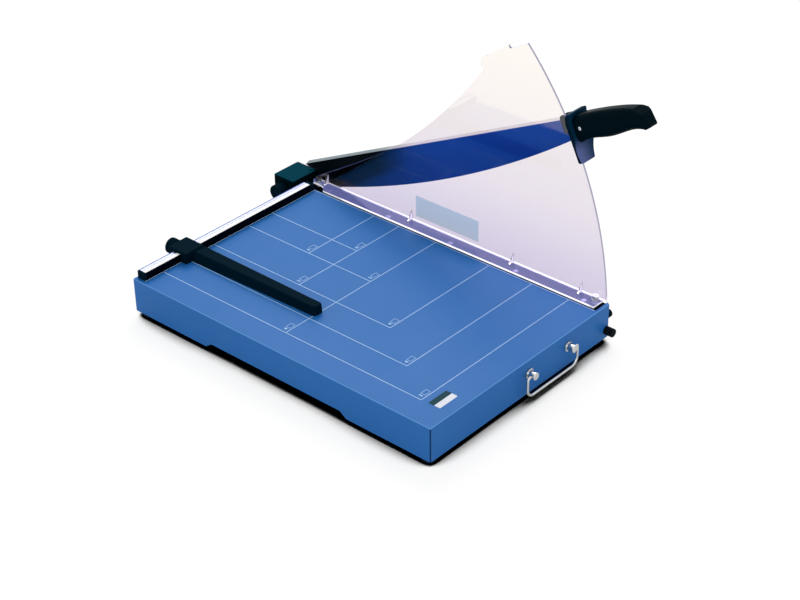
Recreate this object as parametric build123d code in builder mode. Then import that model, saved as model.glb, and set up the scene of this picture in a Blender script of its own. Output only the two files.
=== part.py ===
from build123d import *
import math
import os

# Guillotine paper cutter. Millimetres, +Z up, the user stands at -Y and the blade is on the +X side.
# The origin is on the ground, under the middle of the whole cutter's outline. The sizes and places
# below are from the middle of the base, and each finished piece is moved by BASE_MIDDLE.

BASE_MIDDLE = (-9.8, 3.6, 0.0)

# ---- base -------------------------------------------------------------------------------------
BASE_W = 332.0           # base, left to right
BASE_L = 482.0           # base, front to back
WALL_H = 46.0            # height of the folded steel box
SHEET_T = 1.5            # steel sheet
FOOT_H = 8.0             # rubber feet under the box
CORNER_R = 2.0           # upright corners
SEAM_W = 0.5             # open seam down each folded corner
SEAM_D = 0.8
BEND_R = 1.6             # bend along the top edges
LIP_W = 22.0             # lip turned in under the box
NOTCH_L = 230.0          # finger notch under the left wall
NOTCH_H = 7.0
NOTCH_SLOPE = 10.0
FOOT_R = 9.5
FOOT_INSET = 12.5
FOOT_SCREW_R = 2.0
FOOT_HEAD_H = 2.4
FOOT_NUT_T = 3.2
STIFF_W = 34.0           # channels under the table
STIFF_H = 12.0
STIFF_PITCH = 210.0

# ---- cutting bed ------------------------------------------------------------------------------
BED_W = 24.0             # black bar with the lower knife, along the right edge
BED_H = 15.0
BED_END = 4.0            # sheet left in front of and behind the bar
BED_FIT = 0.1
KNIFE_T = 3.0            # lower knife
KNIFE_H = 12.0
BED_SCREW_FRONT = 27.0   # first and last bed screw to the ends of the base
BED_SCREW_BACK = 36.6
BED_SCREW_N = 5
BED_SCREW_D = 3.5
KNIFE_SCREW_D = 4.0
KNIFE_SCREW_N = 6
KNIFE_SCREW_END = 31.0   # first and last knife screw to the ends of the base
KNIFE_SCREW_L = 8.0      # knife screw in the bar

# ---- fence with scale -------------------------------------------------------------------------
FENCE_BACK = 4.0         # sheet left behind the fence
FENCE_D = 13.0
FENCE_H = 10.5
FENCE_LEFT = 5.0         # sheet left beside the fence
CAP_T = 3.0
END_BLOCK_L = 7.5
SCALE_W = 5.8
SCALE_T = 0.6
SCALE_IN = 0.4
STRIP_W = 5.6            # bright guide strip on the back of the fence
STRIP_H = 2.4
GROOVE_D = 3.0
GROOVE_H = 5.0
FENCE_SCREW_D = 4.0

# ---- paper stop on the fence ------------------------------------------------------------------
STOP_X = -85.4
HEAD_W = 31.0
HEAD_FRONT_T = 9.7
HEAD_BACK_T = 8.2
HEAD_TOP_T = 3.8
SLIDE_FIT = 0.3
TABLE_GAP = 0.4
ARM_L = 205.0
ARM_H = 12.2
ARM_X0 = -5.6            # left foot of the arm at the head, from the middle of the head
ARM_X1 = 18.6
ARM_SLOPE = 5.2
ARM_TAPER_L = 6.2
ARM_TAPER_R = 2.2
KNOB_R = 10.5
KNOB_T = 12.0
KNOB_GAP = 0.8
STUD_R = 2.5
PIN_FIT = 0.05
PAD_FIT = 0.35

# ---- blade pivot ------------------------------------------------------------------------------
PIVOT_BACK = 9.0         # pivot axis behind the base
PIVOT_Z = 26.0
BLOCK_W = 44.0
BLOCK_D = 36.0
BLOCK_TOP = 15.5         # above the table
BLOCK_BOTTOM = 6.0       # pivot block above the ground
PLATE_T = 2.0
BLOCK_SCREW_R = 2.0
BLOCK_SCREW_HEAD_R = 3.6
BLOCK_SCREW_L = 8.0      # screw in the block
BLOCK_SCREW_Z0 = 13.5
BLOCK_SCREW_Z1 = 44.0
CAP_SCREW_R = 1.5
CAP_SCREW_L = 6.0
BOLT_R = 5.0
BOLT_HEX_R = 8.7         # corner radius of the pivot bolt's head and nut
BOLT_HEAD_T = 6.6
BUSH_T = 3.0
WASHER_R = 12.6
WASHER_T = 1.6
SPRING_H = 2.4           # disc spring between block and nut
NUT_H = 8.0
THRUST_R = 8.8
BRAKE_Y = 19.5           # brake knob axis behind the base
BRAKE_DROP = 2.5         # brake knob axis below the table
BRAKE_R = 11.0
BRAKE_T = 13.0
BRAKE_STUD_R = 4.0

# ---- blade and handle, drawn along the blade's own axis ---------------------------------------
REST_ANGLE = 26.0        # blade axis above level, as it stands
BLADE_GAP = 0.1          # blade to lower knife
BLADE_T = 5.0
HEEL_L = 9.0             # end of the cutting edge to the hand guard
EDGE_START = 62.0
EDGE_W0 = 6.0
EDGE_MID = 239.0         # lowest point of the curved edge, from the pivot
EDGE_LOW = -5.8
EDGE_W1 = 17.0
BACK_W0 = 48.0
BACK_W1 = 45.4
ROOT_R = 21.0
BACK_CHAMFER = 2.6
BEVEL_T = 4.2
BEVEL_H = 11.0
TANG_L = 92.0
TANG_H = 16.0
TANG_W = 33.0
HAND_GAP = 2.0           # hand guard to the base front when it passes
GUARD_PLATE_T = 5.5
HAND_NEAR = 18.0         # sides of the hand guard from the middle of the blade
HAND_FAR = 17.0
HAND_LOW = -9.8
HAND_TOP = 50.5
HAND_FOOT = 7.4          # far side of the hand guard's foot
HAND_TAPER = 10.8        # the far side tapers below this
HAND_LIP = 40.0          # the top leans out above this
HAND_LEAN = 3.2
HAND_CORNER = 3.5
COLLAR_L = 16.0
COLLAR_IN = 4.0          # collar let into the hand guard
COLLAR_NEAR = 2.7
COLLAR_FAR = 3.2
COLLAR_LOW = 26.0
COLLAR_TOP = 48.5
GRIP_L = 105.2
GRIP_W = 25.0
GRIP_LOW = 13.1
GRIP_TOP = 46.9
GRIP_ROUND = 8.0
BUTT_FACET_L = 11.0      # flats on both sides of the butt
BUTT_FACET_T = 7.0
GRIP_SCREW_R = 2.3
GRIP_SCREW_U = 13.5      # from the hand guard's back face
GRIP_SCREW_W = 31.0
GRIP_SCREW_IN = 0.4      # screw's ends below the grip's sides

# ---- clear guard and paper clamp --------------------------------------------------------------
SHEET_X = 3.2            # guard sheet to the cutting line
GUARD_T = 2.8
CLAMP_W = 22.3
CLAMP_T = 2.5
CLAMP_GAP = 3.0          # room for paper under the clamp
CLAMP_TRAVEL = 2.6
CLAMP_FRONT = 6.0        # clamp end behind the base front
CLAMP_BACK = 33.4        # clamp end in front of the base back
TONGUE_L = 31.0
TONGUE_W = 12.8
RIM_GAP = 3.0            # guard's outer rim to the hand guard
GUARD_TOP = 42.55        # top corner, degrees above level from the pivot
GUARD_END = 2.5          # guard's foot in front of the base back
GUARD_HOLLOW = ((251.6, 222.0), (154.6, 128.8), (50.0, 59.0))
GUIDE_X = 10.8           # guide screws to the cutting line
GUIDE_FRONT = 14.0       # front guide screw behind the base front
GUIDE_BACK = 12.0
GUIDE_R = 2.5
GUIDE_HEAD_R = 4.2
GUIDE_HEAD_H = 4.5
GUIDE_WASHER_R = 4.6
GUIDE_WASHER_T = 1.0
SPRING_POCKET_R = 4.6    # pockets in the bar for the clamp's lifting springs
SPRING_POCKET_H = 8.0
COIL_R = 3.5
COIL_WIRE = 0.45
COIL_TURNS = 5
COIL_END_GAP = 0.05
GUSSET_H = 13.0
GUSSET_W = 8.0
GUSSET_T = 2.0
GUSSET_FRONT = (38.0, 143.0)  # gussets behind the base front
GUSSET_BACK = (173.0, 25.0)   # gussets in front of the base back
LABEL_Y = 9.5            # middle of the bare film label
LABEL_Z = 27.5
LABEL_L = 103.0
LABEL_H = 30.0
FILM_T = 0.2

# ---- front of the base ------------------------------------------------------------------------
BAIL_RIGHT = 121.4       # middle of the bail to the cutting line
POST_PITCH = 74.0
POST_Z = 36.5
POST_R = 5.0
POST_L = 12.0
POST_FLANGE_R = 6.6
POST_FLANGE_T = 2.4
POST_SCREW_R = 2.5
BAIL_W = 95.0
BAIL_DROP = 26.5
BAIL_R = 1.6
BAIL_OUT = 7.5
BAIL_SEAT = 3.0
BUMPER_R = 5.5
BUMPER_L = 12.0
BUMPER_X = 6.0           # bumper to the cutting line
BUMPER_Z = 19.0
BUMPER_SCREW_R = 2.2
BUMPER_SCREW_L = 9.5
BUMPER_HEAD_R = 2.9
CATCH_Y = 5.5            # side catch behind the base front
CATCH_Z = 35.5
CATCH_R = 5.3
CATCH_L = 6.0
CATCH_GAP = 0.3          # catch to the right wall
CATCH_PIN_R = 1.8
CATCH_HEAD_R = 3.2
CATCH_HEAD_T = 1.5
TAB_W = 5.0              # steel tab of the side catch
TAB_H = 11.0
TAB_T = 1.2
TAB_LIP = 3.2
PLATE_W = 30.5
PLATE_D = 16.7
PLATE_LEFT = 51.2        # name plate's middle from the left and front walls
PLATE_FRONT = 25.0
NAME_T = 0.4

# ---- derived ----------------------------------------------------------------------------------
TOP_Z = FOOT_H + WALL_H
RIGHT = BASE_W / 2
FRONT = -BASE_L / 2
BACK = BASE_L / 2
BED_X = RIGHT - BED_W
SHELF_Z = TOP_Z - BED_H
BED_LEN = BASE_L - 2 * BED_END
FENCE_Y1 = BACK - FENCE_BACK
FENCE_Y0 = FENCE_Y1 - FENCE_D
FENCE_X0 = -RIGHT + FENCE_LEFT
FENCE_X1 = BED_X - 0.5
RAIL_X0 = FENCE_X0 + CAP_T
RAIL_X1 = FENCE_X1 - END_BLOCK_L
RAIL_L = RAIL_X1 - RAIL_X0
RAIL_MID = (RAIL_X0 + RAIL_X1) / 2
BLADE_X = RIGHT + BLADE_GAP
BLADE_MID = BLADE_X + BLADE_T / 2
PIVOT_Y = BACK + PIVOT_BACK
BLOCK_X1 = RIGHT - 1.0 - PLATE_T
BLOCK_X0 = BLOCK_X1 - BLOCK_W
BLOCK_MID = (BLOCK_X0 + BLOCK_X1) / 2
BRAKE_Z = TOP_Z - BRAKE_DROP
REACH = BASE_L + PIVOT_BACK
GUARD_PLATE_U = REACH + HAND_GAP
GUARD_R = GUARD_PLATE_U - RIM_GAP
BLADE_END = GUARD_PLATE_U - HEEL_L
GRIP_SCREW = (GUARD_PLATE_U + GRIP_SCREW_U, GRIP_SCREW_W)
BAIL_X = RIGHT - BAIL_RIGHT
GUSSET_Y = [FRONT + y for y in GUSSET_FRONT] + [BACK - y for y in GUSSET_BACK]
BED_SCREW_PITCH = (BASE_L - BED_SCREW_FRONT - BED_SCREW_BACK) / (BED_SCREW_N - 1)
KNIFE_SCREW_PITCH = (BASE_L - 2 * KNIFE_SCREW_END) / (KNIFE_SCREW_N - 1)

os.makedirs("parts", exist_ok=True)


def save(item, name):
    """Place a finished piece about the origin, label it and write it under its own name."""
    placed = item.part.moved(Location(BASE_MIDDLE))
    placed.label = name
    export_step(placed, "parts/" + name + ".step")


def blade_plane(x):
    """Plane across the machine at x, with its axes along and up from the blade at rest."""
    along = Vector(0, -1, 0).rotate(Axis.X, -REST_ANGLE)
    return Plane(origin=(x, PIVOT_Y, PIVOT_Z), x_dir=along, z_dir=(-1, 0, 0))


def side_plane(x):
    """Plane across the machine at x that looks along +X, with Y to its right and Z up."""
    return Plane(origin=(x, 0, 0), x_dir=(0, 1, 0), z_dir=(1, 0, 0))


def front_plane(y):
    """Plane at y that looks along -Y, with X to its right and Z up."""
    return Plane(origin=(0, y, 0), x_dir=(1, 0, 0), z_dir=(0, -1, 0))


# ---- base housing -----------------------------------------------------------------------------
FEET = [
    (sx * (BASE_W / 2 - FOOT_INSET), sy * (BASE_L / 2 - FOOT_INSET))
    for sx in (-1, 1)
    for sy in (-1, 1)
]
SEAM_IN = CORNER_R * (1 - math.sqrt(0.5))
SEAMS = [
    Location((sx * (RIGHT - SEAM_IN), sy * (BACK - SEAM_IN), FOOT_H), (0, 0, 45 * sx * sy))
    for sx in (-1, 1)
    for sy in (-1, 1)
]
BED_SCREW_Y = [FRONT + BED_SCREW_FRONT + BED_SCREW_PITCH * i for i in range(BED_SCREW_N)]
BED_SCREW_X = BED_X + 8.0
FENCE_SCREW_X = [RAIL_MID - RAIL_L * 0.4, RAIL_MID, RAIL_MID + RAIL_L * 0.4]
FENCE_SCREW_Y = (FENCE_Y0 + FENCE_Y1) / 2
GUIDES = [(RIGHT - GUIDE_X, FRONT + GUIDE_FRONT), (RIGHT - GUIDE_X, BACK - GUIDE_BACK)]
BLOCK_SCREWS = [
    (BLOCK_X0 + 7.0, BLOCK_SCREW_Z1),
    (BLOCK_X0 + 17.0, BLOCK_SCREW_Z1),
    (BLOCK_X0 + 7.0, BLOCK_SCREW_Z0),
    (BLOCK_X1 - 9.0, BLOCK_SCREW_Z0),
]

with BuildPart() as base_housing:
    with BuildSketch(Plane.XY.offset(FOOT_H)):
        RectangleRounded(BASE_W, BASE_L, CORNER_R)
    extrude(amount=WALL_H)
    fillet(base_housing.faces().sort_by(Axis.Z)[-1].edges(), radius=BEND_R)
    with BuildSketch(Plane.XY.offset(FOOT_H + SHEET_T)):
        RectangleRounded(BASE_W - 2 * SHEET_T, BASE_L - 2 * SHEET_T, CORNER_R - SHEET_T)
    extrude(amount=WALL_H - 2 * SHEET_T, mode=Mode.SUBTRACT)
    with BuildSketch(Plane.XY.offset(FOOT_H)):
        Rectangle(BASE_W - 2 * LIP_W, BASE_L - 2 * LIP_W)
    extrude(amount=SHEET_T, mode=Mode.SUBTRACT)
    # folded shelf that carries the cutting bed
    with Locations(((BED_X + RIGHT) / 2 - SHEET_T / 2, 0, SHELF_Z - SHEET_T)):
        Box(
            BED_W + SHEET_T,
            BED_LEN + 2 * SHEET_T,
            BED_H + SHEET_T,
            align=(Align.CENTER, Align.CENTER, Align.MIN),
        )
    with Locations((BED_X, 0, SHELF_Z)):
        Box(
            BED_W + SHEET_T,
            BED_LEN,
            BED_H + SHEET_T,
            align=(Align.MIN, Align.CENTER, Align.MIN),
            mode=Mode.SUBTRACT,
        )
    # seams of the folded corners
    with Locations(*SEAMS):
        Box(
            2 * SEAM_D,
            SEAM_W,
            WALL_H - BEND_R,
            align=(Align.CENTER, Align.CENTER, Align.MIN),
            mode=Mode.SUBTRACT,
        )
    # long notch under the left wall
    with BuildSketch(side_plane(-RIGHT - SHEET_T)):
        with BuildLine():
            Polyline(
                (-NOTCH_L / 2, FOOT_H - 1),
                (-NOTCH_L / 2, FOOT_H),
                (-NOTCH_L / 2 + NOTCH_SLOPE, FOOT_H + NOTCH_H),
                (NOTCH_L / 2 - NOTCH_SLOPE, FOOT_H + NOTCH_H),
                (NOTCH_L / 2, FOOT_H),
                (NOTCH_L / 2, FOOT_H - 1),
                close=True,
            )
        make_face()
    extrude(amount=LIP_W + 2 * SHEET_T, mode=Mode.SUBTRACT)
    # holes
    with Locations(*[(x, y, FOOT_H) for x, y in FEET]):
        Cylinder(FOOT_SCREW_R, 4 * SHEET_T, mode=Mode.SUBTRACT)
    with Locations(*[(BED_SCREW_X, y, SHELF_Z) for y in BED_SCREW_Y]):
        Cylinder(BED_SCREW_D / 2, 4 * SHEET_T, mode=Mode.SUBTRACT)
    with Locations(*[(x, FENCE_SCREW_Y, TOP_Z) for x in FENCE_SCREW_X]):
        Cylinder(FENCE_SCREW_D / 2, 4 * SHEET_T, mode=Mode.SUBTRACT)
    with Locations(*[(BAIL_X + s * POST_PITCH / 2, FRONT, POST_Z) for s in (-1, 1)]):
        Cylinder(POST_SCREW_R, 4 * SHEET_T, rotation=(90, 0, 0), mode=Mode.SUBTRACT)
    with Locations((RIGHT - BUMPER_X, FRONT, BUMPER_Z)):
        Cylinder(BUMPER_SCREW_R, 4 * SHEET_T, rotation=(90, 0, 0), mode=Mode.SUBTRACT)
    with Locations(*[(x, BACK, z) for x, z in BLOCK_SCREWS]):
        Cylinder(BLOCK_SCREW_R, 4 * SHEET_T, rotation=(90, 0, 0), mode=Mode.SUBTRACT)
    with Locations((RIGHT, FRONT + CATCH_Y, CATCH_Z)):
        Cylinder(CATCH_PIN_R, 4 * SHEET_T, rotation=(0, 90, 0), mode=Mode.SUBTRACT)
save(base_housing, "base_housing")

with BuildPart() as stiffeners:
    STIFF_X0 = -RIGHT + SHEET_T
    STIFF_X1 = BED_X - SHEET_T
    for y in (-STIFF_PITCH / 2, STIFF_PITCH / 2):
        with Locations(((STIFF_X0 + STIFF_X1) / 2, y, TOP_Z - SHEET_T)):
            Box(
                STIFF_X1 - STIFF_X0,
                STIFF_W,
                STIFF_H,
                align=(Align.CENTER, Align.CENTER, Align.MAX),
            )
        with Locations(((STIFF_X0 + STIFF_X1) / 2, y, TOP_Z - 2 * SHEET_T)):
            Box(
                STIFF_X1 - STIFF_X0,
                STIFF_W - 2 * SHEET_T,
                STIFF_H,
                align=(Align.CENTER, Align.CENTER, Align.MAX),
                mode=Mode.SUBTRACT,
            )
save(stiffeners, "stiffeners")

# ---- feet -------------------------------------------------------------------------------------
with BuildPart() as rubber_feet:
    with Locations(*[(x, y, 0) for x, y in FEET]):
        Cone(FOOT_R * 0.86, FOOT_R, FOOT_H, align=(Align.CENTER, Align.CENTER, Align.MIN))
    with Locations(*[(x, y, 0) for x, y in FEET]):
        Cylinder(
            FOOT_SCREW_R * 2.1,
            FOOT_H * 0.45,
            align=(Align.CENTER, Align.CENTER, Align.MIN),
            mode=Mode.SUBTRACT,
        )
        Cylinder(
            FOOT_SCREW_R,
            FOOT_H,
            align=(Align.CENTER, Align.CENTER, Align.MIN),
            mode=Mode.SUBTRACT,
        )
save(rubber_feet, "rubber_feet")

with BuildPart() as foot_screws:
    with Locations(*[(x, y, FOOT_H * 0.45) for x, y in FEET]):
        Cylinder(FOOT_SCREW_R * 1.9, FOOT_HEAD_H, align=(Align.CENTER, Align.CENTER, Align.MAX))
        Cylinder(
            FOOT_SCREW_R,
            FOOT_H * 0.55 + SHEET_T + FOOT_NUT_T + 1.0,
            align=(Align.CENTER, Align.CENTER, Align.MIN),
        )
save(foot_screws, "foot_screws")

with BuildPart() as foot_nuts:
    with BuildSketch(Plane.XY.offset(FOOT_H + SHEET_T)):
        with Locations(*FEET):
            RegularPolygon(FOOT_SCREW_R * 2, 6)
            Circle(FOOT_SCREW_R, mode=Mode.SUBTRACT)
    extrude(amount=FOOT_NUT_T)
save(foot_nuts, "foot_nuts")

# ---- cutting bed ------------------------------------------------------------------------------
KNIFE_SCREW_Z = TOP_Z - KNIFE_H / 2
KNIFE_SCREW_Y = [(i - (KNIFE_SCREW_N - 1) / 2) * KNIFE_SCREW_PITCH for i in range(KNIFE_SCREW_N)]
BED_Y = BED_LEN / 2 - BED_FIT

with BuildPart() as bed_bar:
    with BuildSketch(Plane.XZ.offset(-BED_Y)):
        with BuildLine():
            Polyline(
                (BED_X + BED_FIT, SHELF_Z),
                (RIGHT, SHELF_Z),
                (RIGHT, TOP_Z - KNIFE_H),
                (RIGHT - KNIFE_T, TOP_Z - KNIFE_H),
                (RIGHT - KNIFE_T, TOP_Z),
                (BED_X + BED_FIT, TOP_Z),
                close=True,
            )
        make_face()
    extrude(amount=2 * BED_Y)
    with Locations(*[Location((BED_SCREW_X, y, TOP_Z)) for y in BED_SCREW_Y]):
        CounterSinkHole(BED_SCREW_D / 2, BED_SCREW_D, depth=BED_H, counter_sink_angle=90)
    with Locations(*[(RIGHT - KNIFE_T, y, KNIFE_SCREW_Z) for y in KNIFE_SCREW_Y]):
        Cylinder(KNIFE_SCREW_D / 2, 2 * KNIFE_SCREW_L, rotation=(0, 90, 0), mode=Mode.SUBTRACT)
    with Locations(*[(x, y, TOP_Z) for x, y in GUIDES]):
        Cylinder(
            SPRING_POCKET_R,
            SPRING_POCKET_H,
            align=(Align.CENTER, Align.CENTER, Align.MAX),
            mode=Mode.SUBTRACT,
        )
        Cylinder(
            GUIDE_R,
            BED_H,
            align=(Align.CENTER, Align.CENTER, Align.MAX),
            mode=Mode.SUBTRACT,
        )
save(bed_bar, "bed_bar")

with BuildPart() as bed_screws:
    with Locations(*[(BED_SCREW_X, y, TOP_Z) for y in BED_SCREW_Y]):
        Cone(
            BED_SCREW_D / 2,
            BED_SCREW_D,
            BED_SCREW_D / 2,
            align=(Align.CENTER, Align.CENTER, Align.MAX),
        )
        Cylinder(
            BED_SCREW_D / 2,
            BED_H + SHEET_T + BED_SCREW_D,
            align=(Align.CENTER, Align.CENTER, Align.MAX),
        )
    with BuildSketch(Plane.XY.offset(TOP_Z)):
        with Locations(*[(BED_SCREW_X, y) for y in BED_SCREW_Y]):
            RegularPolygon(BED_SCREW_D * 0.42, 6)
    extrude(amount=-BED_SCREW_D * 0.35, mode=Mode.SUBTRACT)
save(bed_screws, "bed_screws")

with BuildPart() as bed_nuts:
    with BuildSketch(Plane.XY.offset(SHELF_Z - SHEET_T)):
        with Locations(*[(BED_SCREW_X, y) for y in BED_SCREW_Y]):
            RegularPolygon(BED_SCREW_D, 6)
            Circle(BED_SCREW_D / 2, mode=Mode.SUBTRACT)
    extrude(amount=-BED_SCREW_D * 0.8)
save(bed_nuts, "bed_nuts")

with BuildPart() as bed_knife:
    with Locations((RIGHT - KNIFE_T, 0, TOP_Z)):
        Box(KNIFE_T, 2 * BED_Y, KNIFE_H, align=(Align.MIN, Align.CENTER, Align.MAX))
    with Locations(
        *[
            Location((RIGHT, y, KNIFE_SCREW_Z), (0, 90, 0))
            for y in KNIFE_SCREW_Y
        ]
    ):
        CounterSinkHole(
            KNIFE_SCREW_D / 2, KNIFE_SCREW_D * 0.95, depth=KNIFE_T, counter_sink_angle=90
        )
save(bed_knife, "bed_knife")

with BuildPart() as knife_screws:
    for y in KNIFE_SCREW_Y:
        with Locations(Location((RIGHT, y, KNIFE_SCREW_Z), (0, 90, 0))):
            Cone(
                KNIFE_SCREW_D / 2,
                KNIFE_SCREW_D * 0.95,
                KNIFE_SCREW_D * 0.45,
                align=(Align.CENTER, Align.CENTER, Align.MAX),
            )
            Cylinder(
                KNIFE_SCREW_D / 2,
                KNIFE_T + KNIFE_SCREW_L,
                align=(Align.CENTER, Align.CENTER, Align.MAX),
            )
save(knife_screws, "knife_screws")

# ---- fence ------------------------------------------------------------------------------------
FENCE_TOP = TOP_Z + FENCE_H
GROOVE_Z = TOP_Z + FENCE_H / 2 - 0.6
SCALE_Y0 = FENCE_Y0 + 1.0

with BuildPart() as fence_rail:
    with BuildSketch(side_plane(RAIL_X0)):
        with Locations(((FENCE_Y0 + FENCE_Y1) / 2, TOP_Z + FENCE_H / 2)):
            Rectangle(FENCE_D, FENCE_H)
        with Locations((FENCE_Y1, GROOVE_Z)):
            Rectangle(2 * GROOVE_D, GROOVE_H, mode=Mode.SUBTRACT)
        with Locations((FENCE_Y1, FENCE_TOP)):
            Rectangle(2 * STRIP_W, 2 * STRIP_H, mode=Mode.SUBTRACT)
        with Locations((SCALE_Y0 + SCALE_W / 2, FENCE_TOP)):
            Rectangle(SCALE_W, 2 * SCALE_IN, mode=Mode.SUBTRACT)
    extrude(amount=RAIL_L)
    fillet(
        fence_rail.edges().filter_by(Axis.X).group_by(Axis.Y)[0].sort_by(Axis.Z)[-1],
        radius=0.5,
    )
    with Locations(*[(x, FENCE_SCREW_Y, TOP_Z) for x in FENCE_SCREW_X]):
        Cylinder(
            FENCE_SCREW_D / 2,
            FENCE_H * 0.7,
            align=(Align.CENTER, Align.CENTER, Align.MIN),
            mode=Mode.SUBTRACT,
        )
save(fence_rail, "fence_rail")

with BuildPart() as scale_strip:
    with Locations((RAIL_MID, SCALE_Y0 + SCALE_W / 2, FENCE_TOP - SCALE_IN)):
        Box(RAIL_L, SCALE_W, SCALE_T, align=(Align.CENTER, Align.CENTER, Align.MIN))
save(scale_strip, "scale_strip")

with BuildPart() as guide_strip:
    with Locations((RAIL_MID, FENCE_Y1 - STRIP_W / 2, FENCE_TOP - STRIP_H)):
        Box(RAIL_L, STRIP_W, STRIP_H + 0.2, align=(Align.CENTER, Align.CENTER, Align.MIN))
    fillet(guide_strip.edges().filter_by(Axis.X).group_by(Axis.Z)[-1], radius=0.4)
save(guide_strip, "guide_strip")

with BuildPart() as fence_cap:
    with Locations((FENCE_X0, (FENCE_Y0 + FENCE_Y1) / 2, TOP_Z)):
        Box(CAP_T, FENCE_D, FENCE_H, align=(Align.MIN, Align.CENTER, Align.MIN))
    fillet(fence_cap.faces().sort_by(Axis.X)[0].edges(), radius=0.8)
save(fence_cap, "fence_cap")

with BuildPart() as fence_end_block:
    with Locations((FENCE_X1, (FENCE_Y0 + FENCE_Y1) / 2, TOP_Z)):
        Box(END_BLOCK_L, FENCE_D, FENCE_H - 1.2, align=(Align.MAX, Align.CENTER, Align.MIN))
    fillet(fence_end_block.faces().sort_by(Axis.X)[-1].edges(), radius=0.8)
save(fence_end_block, "fence_end_block")

with BuildPart() as fence_screws:
    with Locations(*[(x, FENCE_SCREW_Y, TOP_Z - SHEET_T) for x in FENCE_SCREW_X]):
        Cylinder(FENCE_SCREW_D * 0.9, 2.6, align=(Align.CENTER, Align.CENTER, Align.MAX))
        Cylinder(
            FENCE_SCREW_D / 2,
            SHEET_T + FENCE_H * 0.7,
            align=(Align.CENTER, Align.CENTER, Align.MIN),
        )
save(fence_screws, "fence_screws")

# ---- paper stop -------------------------------------------------------------------------------
HEAD_Y0 = FENCE_Y0 - SLIDE_FIT - HEAD_FRONT_T
HEAD_Y1 = FENCE_Y1 + SLIDE_FIT + HEAD_BACK_T
HEAD_TOP = FENCE_TOP + SCALE_T + SLIDE_FIT + HEAD_TOP_T
ARM_Z0 = TOP_Z + TABLE_GAP
ARM_TIP_Y = HEAD_Y0 - ARM_L

with BuildPart() as stop_head:
    with BuildSketch(side_plane(STOP_X - HEAD_W / 2)):
        with BuildLine():
            Polyline(
                (HEAD_Y0, ARM_Z0),
                (HEAD_Y0, HEAD_TOP),
                (HEAD_Y1, HEAD_TOP),
                (HEAD_Y1, ARM_Z0),
                (FENCE_Y1 + SLIDE_FIT, ARM_Z0),
                (FENCE_Y1 + SLIDE_FIT, HEAD_TOP - HEAD_TOP_T),
                (FENCE_Y0 - SLIDE_FIT, HEAD_TOP - HEAD_TOP_T),
                (FENCE_Y0 - SLIDE_FIT, ARM_Z0),
                close=True,
            )
        make_face()
    extrude(amount=HEAD_W)
    fillet(stop_head.faces().sort_by(Axis.Z)[-1].edges(), radius=1.2)
    with Locations((STOP_X, HEAD_Y1, GROOVE_Z)):
        Cylinder(
            STUD_R + PIN_FIT, 4 * HEAD_BACK_T, rotation=(90, 0, 0), mode=Mode.SUBTRACT
        )
save(stop_head, "stop_head")

with BuildPart() as stop_arm:
    with BuildSketch(front_plane(HEAD_Y0)):
        with BuildLine():
            Polyline(
                (STOP_X + ARM_X0, ARM_Z0),
                (STOP_X + ARM_X0 + ARM_SLOPE, ARM_Z0 + ARM_H),
                (STOP_X + ARM_X1 - 1.5, ARM_Z0 + ARM_H),
                (STOP_X + ARM_X1, ARM_Z0),
                close=True,
            )
        make_face()
    with BuildSketch(front_plane(ARM_TIP_Y)):
        with BuildLine():
            Polyline(
                (STOP_X + ARM_X0 + ARM_TAPER_L, ARM_Z0),
                (STOP_X + ARM_X0 + ARM_TAPER_L + ARM_SLOPE * 0.3, ARM_Z0 + ARM_H),
                (STOP_X + ARM_X1 - ARM_TAPER_R - 1.2, ARM_Z0 + ARM_H),
                (STOP_X + ARM_X1 - ARM_TAPER_R, ARM_Z0),
                close=True,
            )
        make_face()
    loft()
    fillet(
        stop_arm.faces().sort_by(Axis.Y)[0].edges().filter_by(Axis.X, reverse=True),
        radius=4.0,
    )
    fillet(
        stop_arm.faces().sort_by(Axis.Z)[-1].edges().filter_by(Axis.X, reverse=True),
        radius=1.2,
    )
save(stop_arm, "stop_arm")

with BuildPart() as stop_pad:
    with Locations((STOP_X, FENCE_Y1 + SLIDE_FIT, GROOVE_Z)):
        Box(
            12.0,
            SLIDE_FIT + GROOVE_D - PAD_FIT,
            GROOVE_H - 2 * PAD_FIT,
            align=(Align.CENTER, Align.MAX, Align.CENTER),
        )
save(stop_pad, "stop_pad")


def knurled(radius, teeth):
    """Sketch of a knurled round."""
    Circle(radius)
    with PolarLocations(radius + 0.35, teeth):
        Circle(0.9, mode=Mode.SUBTRACT)


KNOB_Y = HEAD_Y1 + KNOB_GAP
with BuildPart() as stop_knob:
    with BuildSketch(Plane(origin=(STOP_X, KNOB_Y, GROOVE_Z), z_dir=(0, 1, 0))):
        knurled(KNOB_R, 30)
    extrude(amount=KNOB_T)
    with BuildSketch(Plane(origin=(STOP_X, KNOB_Y + KNOB_T, GROOVE_Z), z_dir=(0, 1, 0))):
        Circle(KNOB_R * 0.62)
    extrude(amount=-0.8, mode=Mode.SUBTRACT)
    with Locations((STOP_X, KNOB_Y, GROOVE_Z)):
        Cylinder(STUD_R, KNOB_T, rotation=(90, 0, 0), mode=Mode.SUBTRACT)
save(stop_knob, "stop_knob")

STUD_Y0 = FENCE_Y1 + SLIDE_FIT + 0.1
with BuildPart() as stop_stud:
    with BuildSketch(Plane(origin=(STOP_X, STUD_Y0, GROOVE_Z), z_dir=(0, 1, 0))):
        Circle(STUD_R)
    extrude(amount=KNOB_Y + KNOB_T / 2 - STUD_Y0)
save(stop_stud, "stop_stud")

# ---- pivot block ------------------------------------------------------------------------------
BLOCK_Y0 = BACK
BLOCK_Z1 = TOP_Z + BLOCK_TOP
BLOCK_H = BLOCK_Z1 - BLOCK_BOTTOM
BUSH_R = BOLT_R + PIN_FIT + BUSH_T
BRAKE_POS_Y = BACK + BRAKE_Y
CAP_SCREW_POS = (BLOCK_X1 - 4.0, BLOCK_Y0 + 6.0, BLOCK_Z1)

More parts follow.
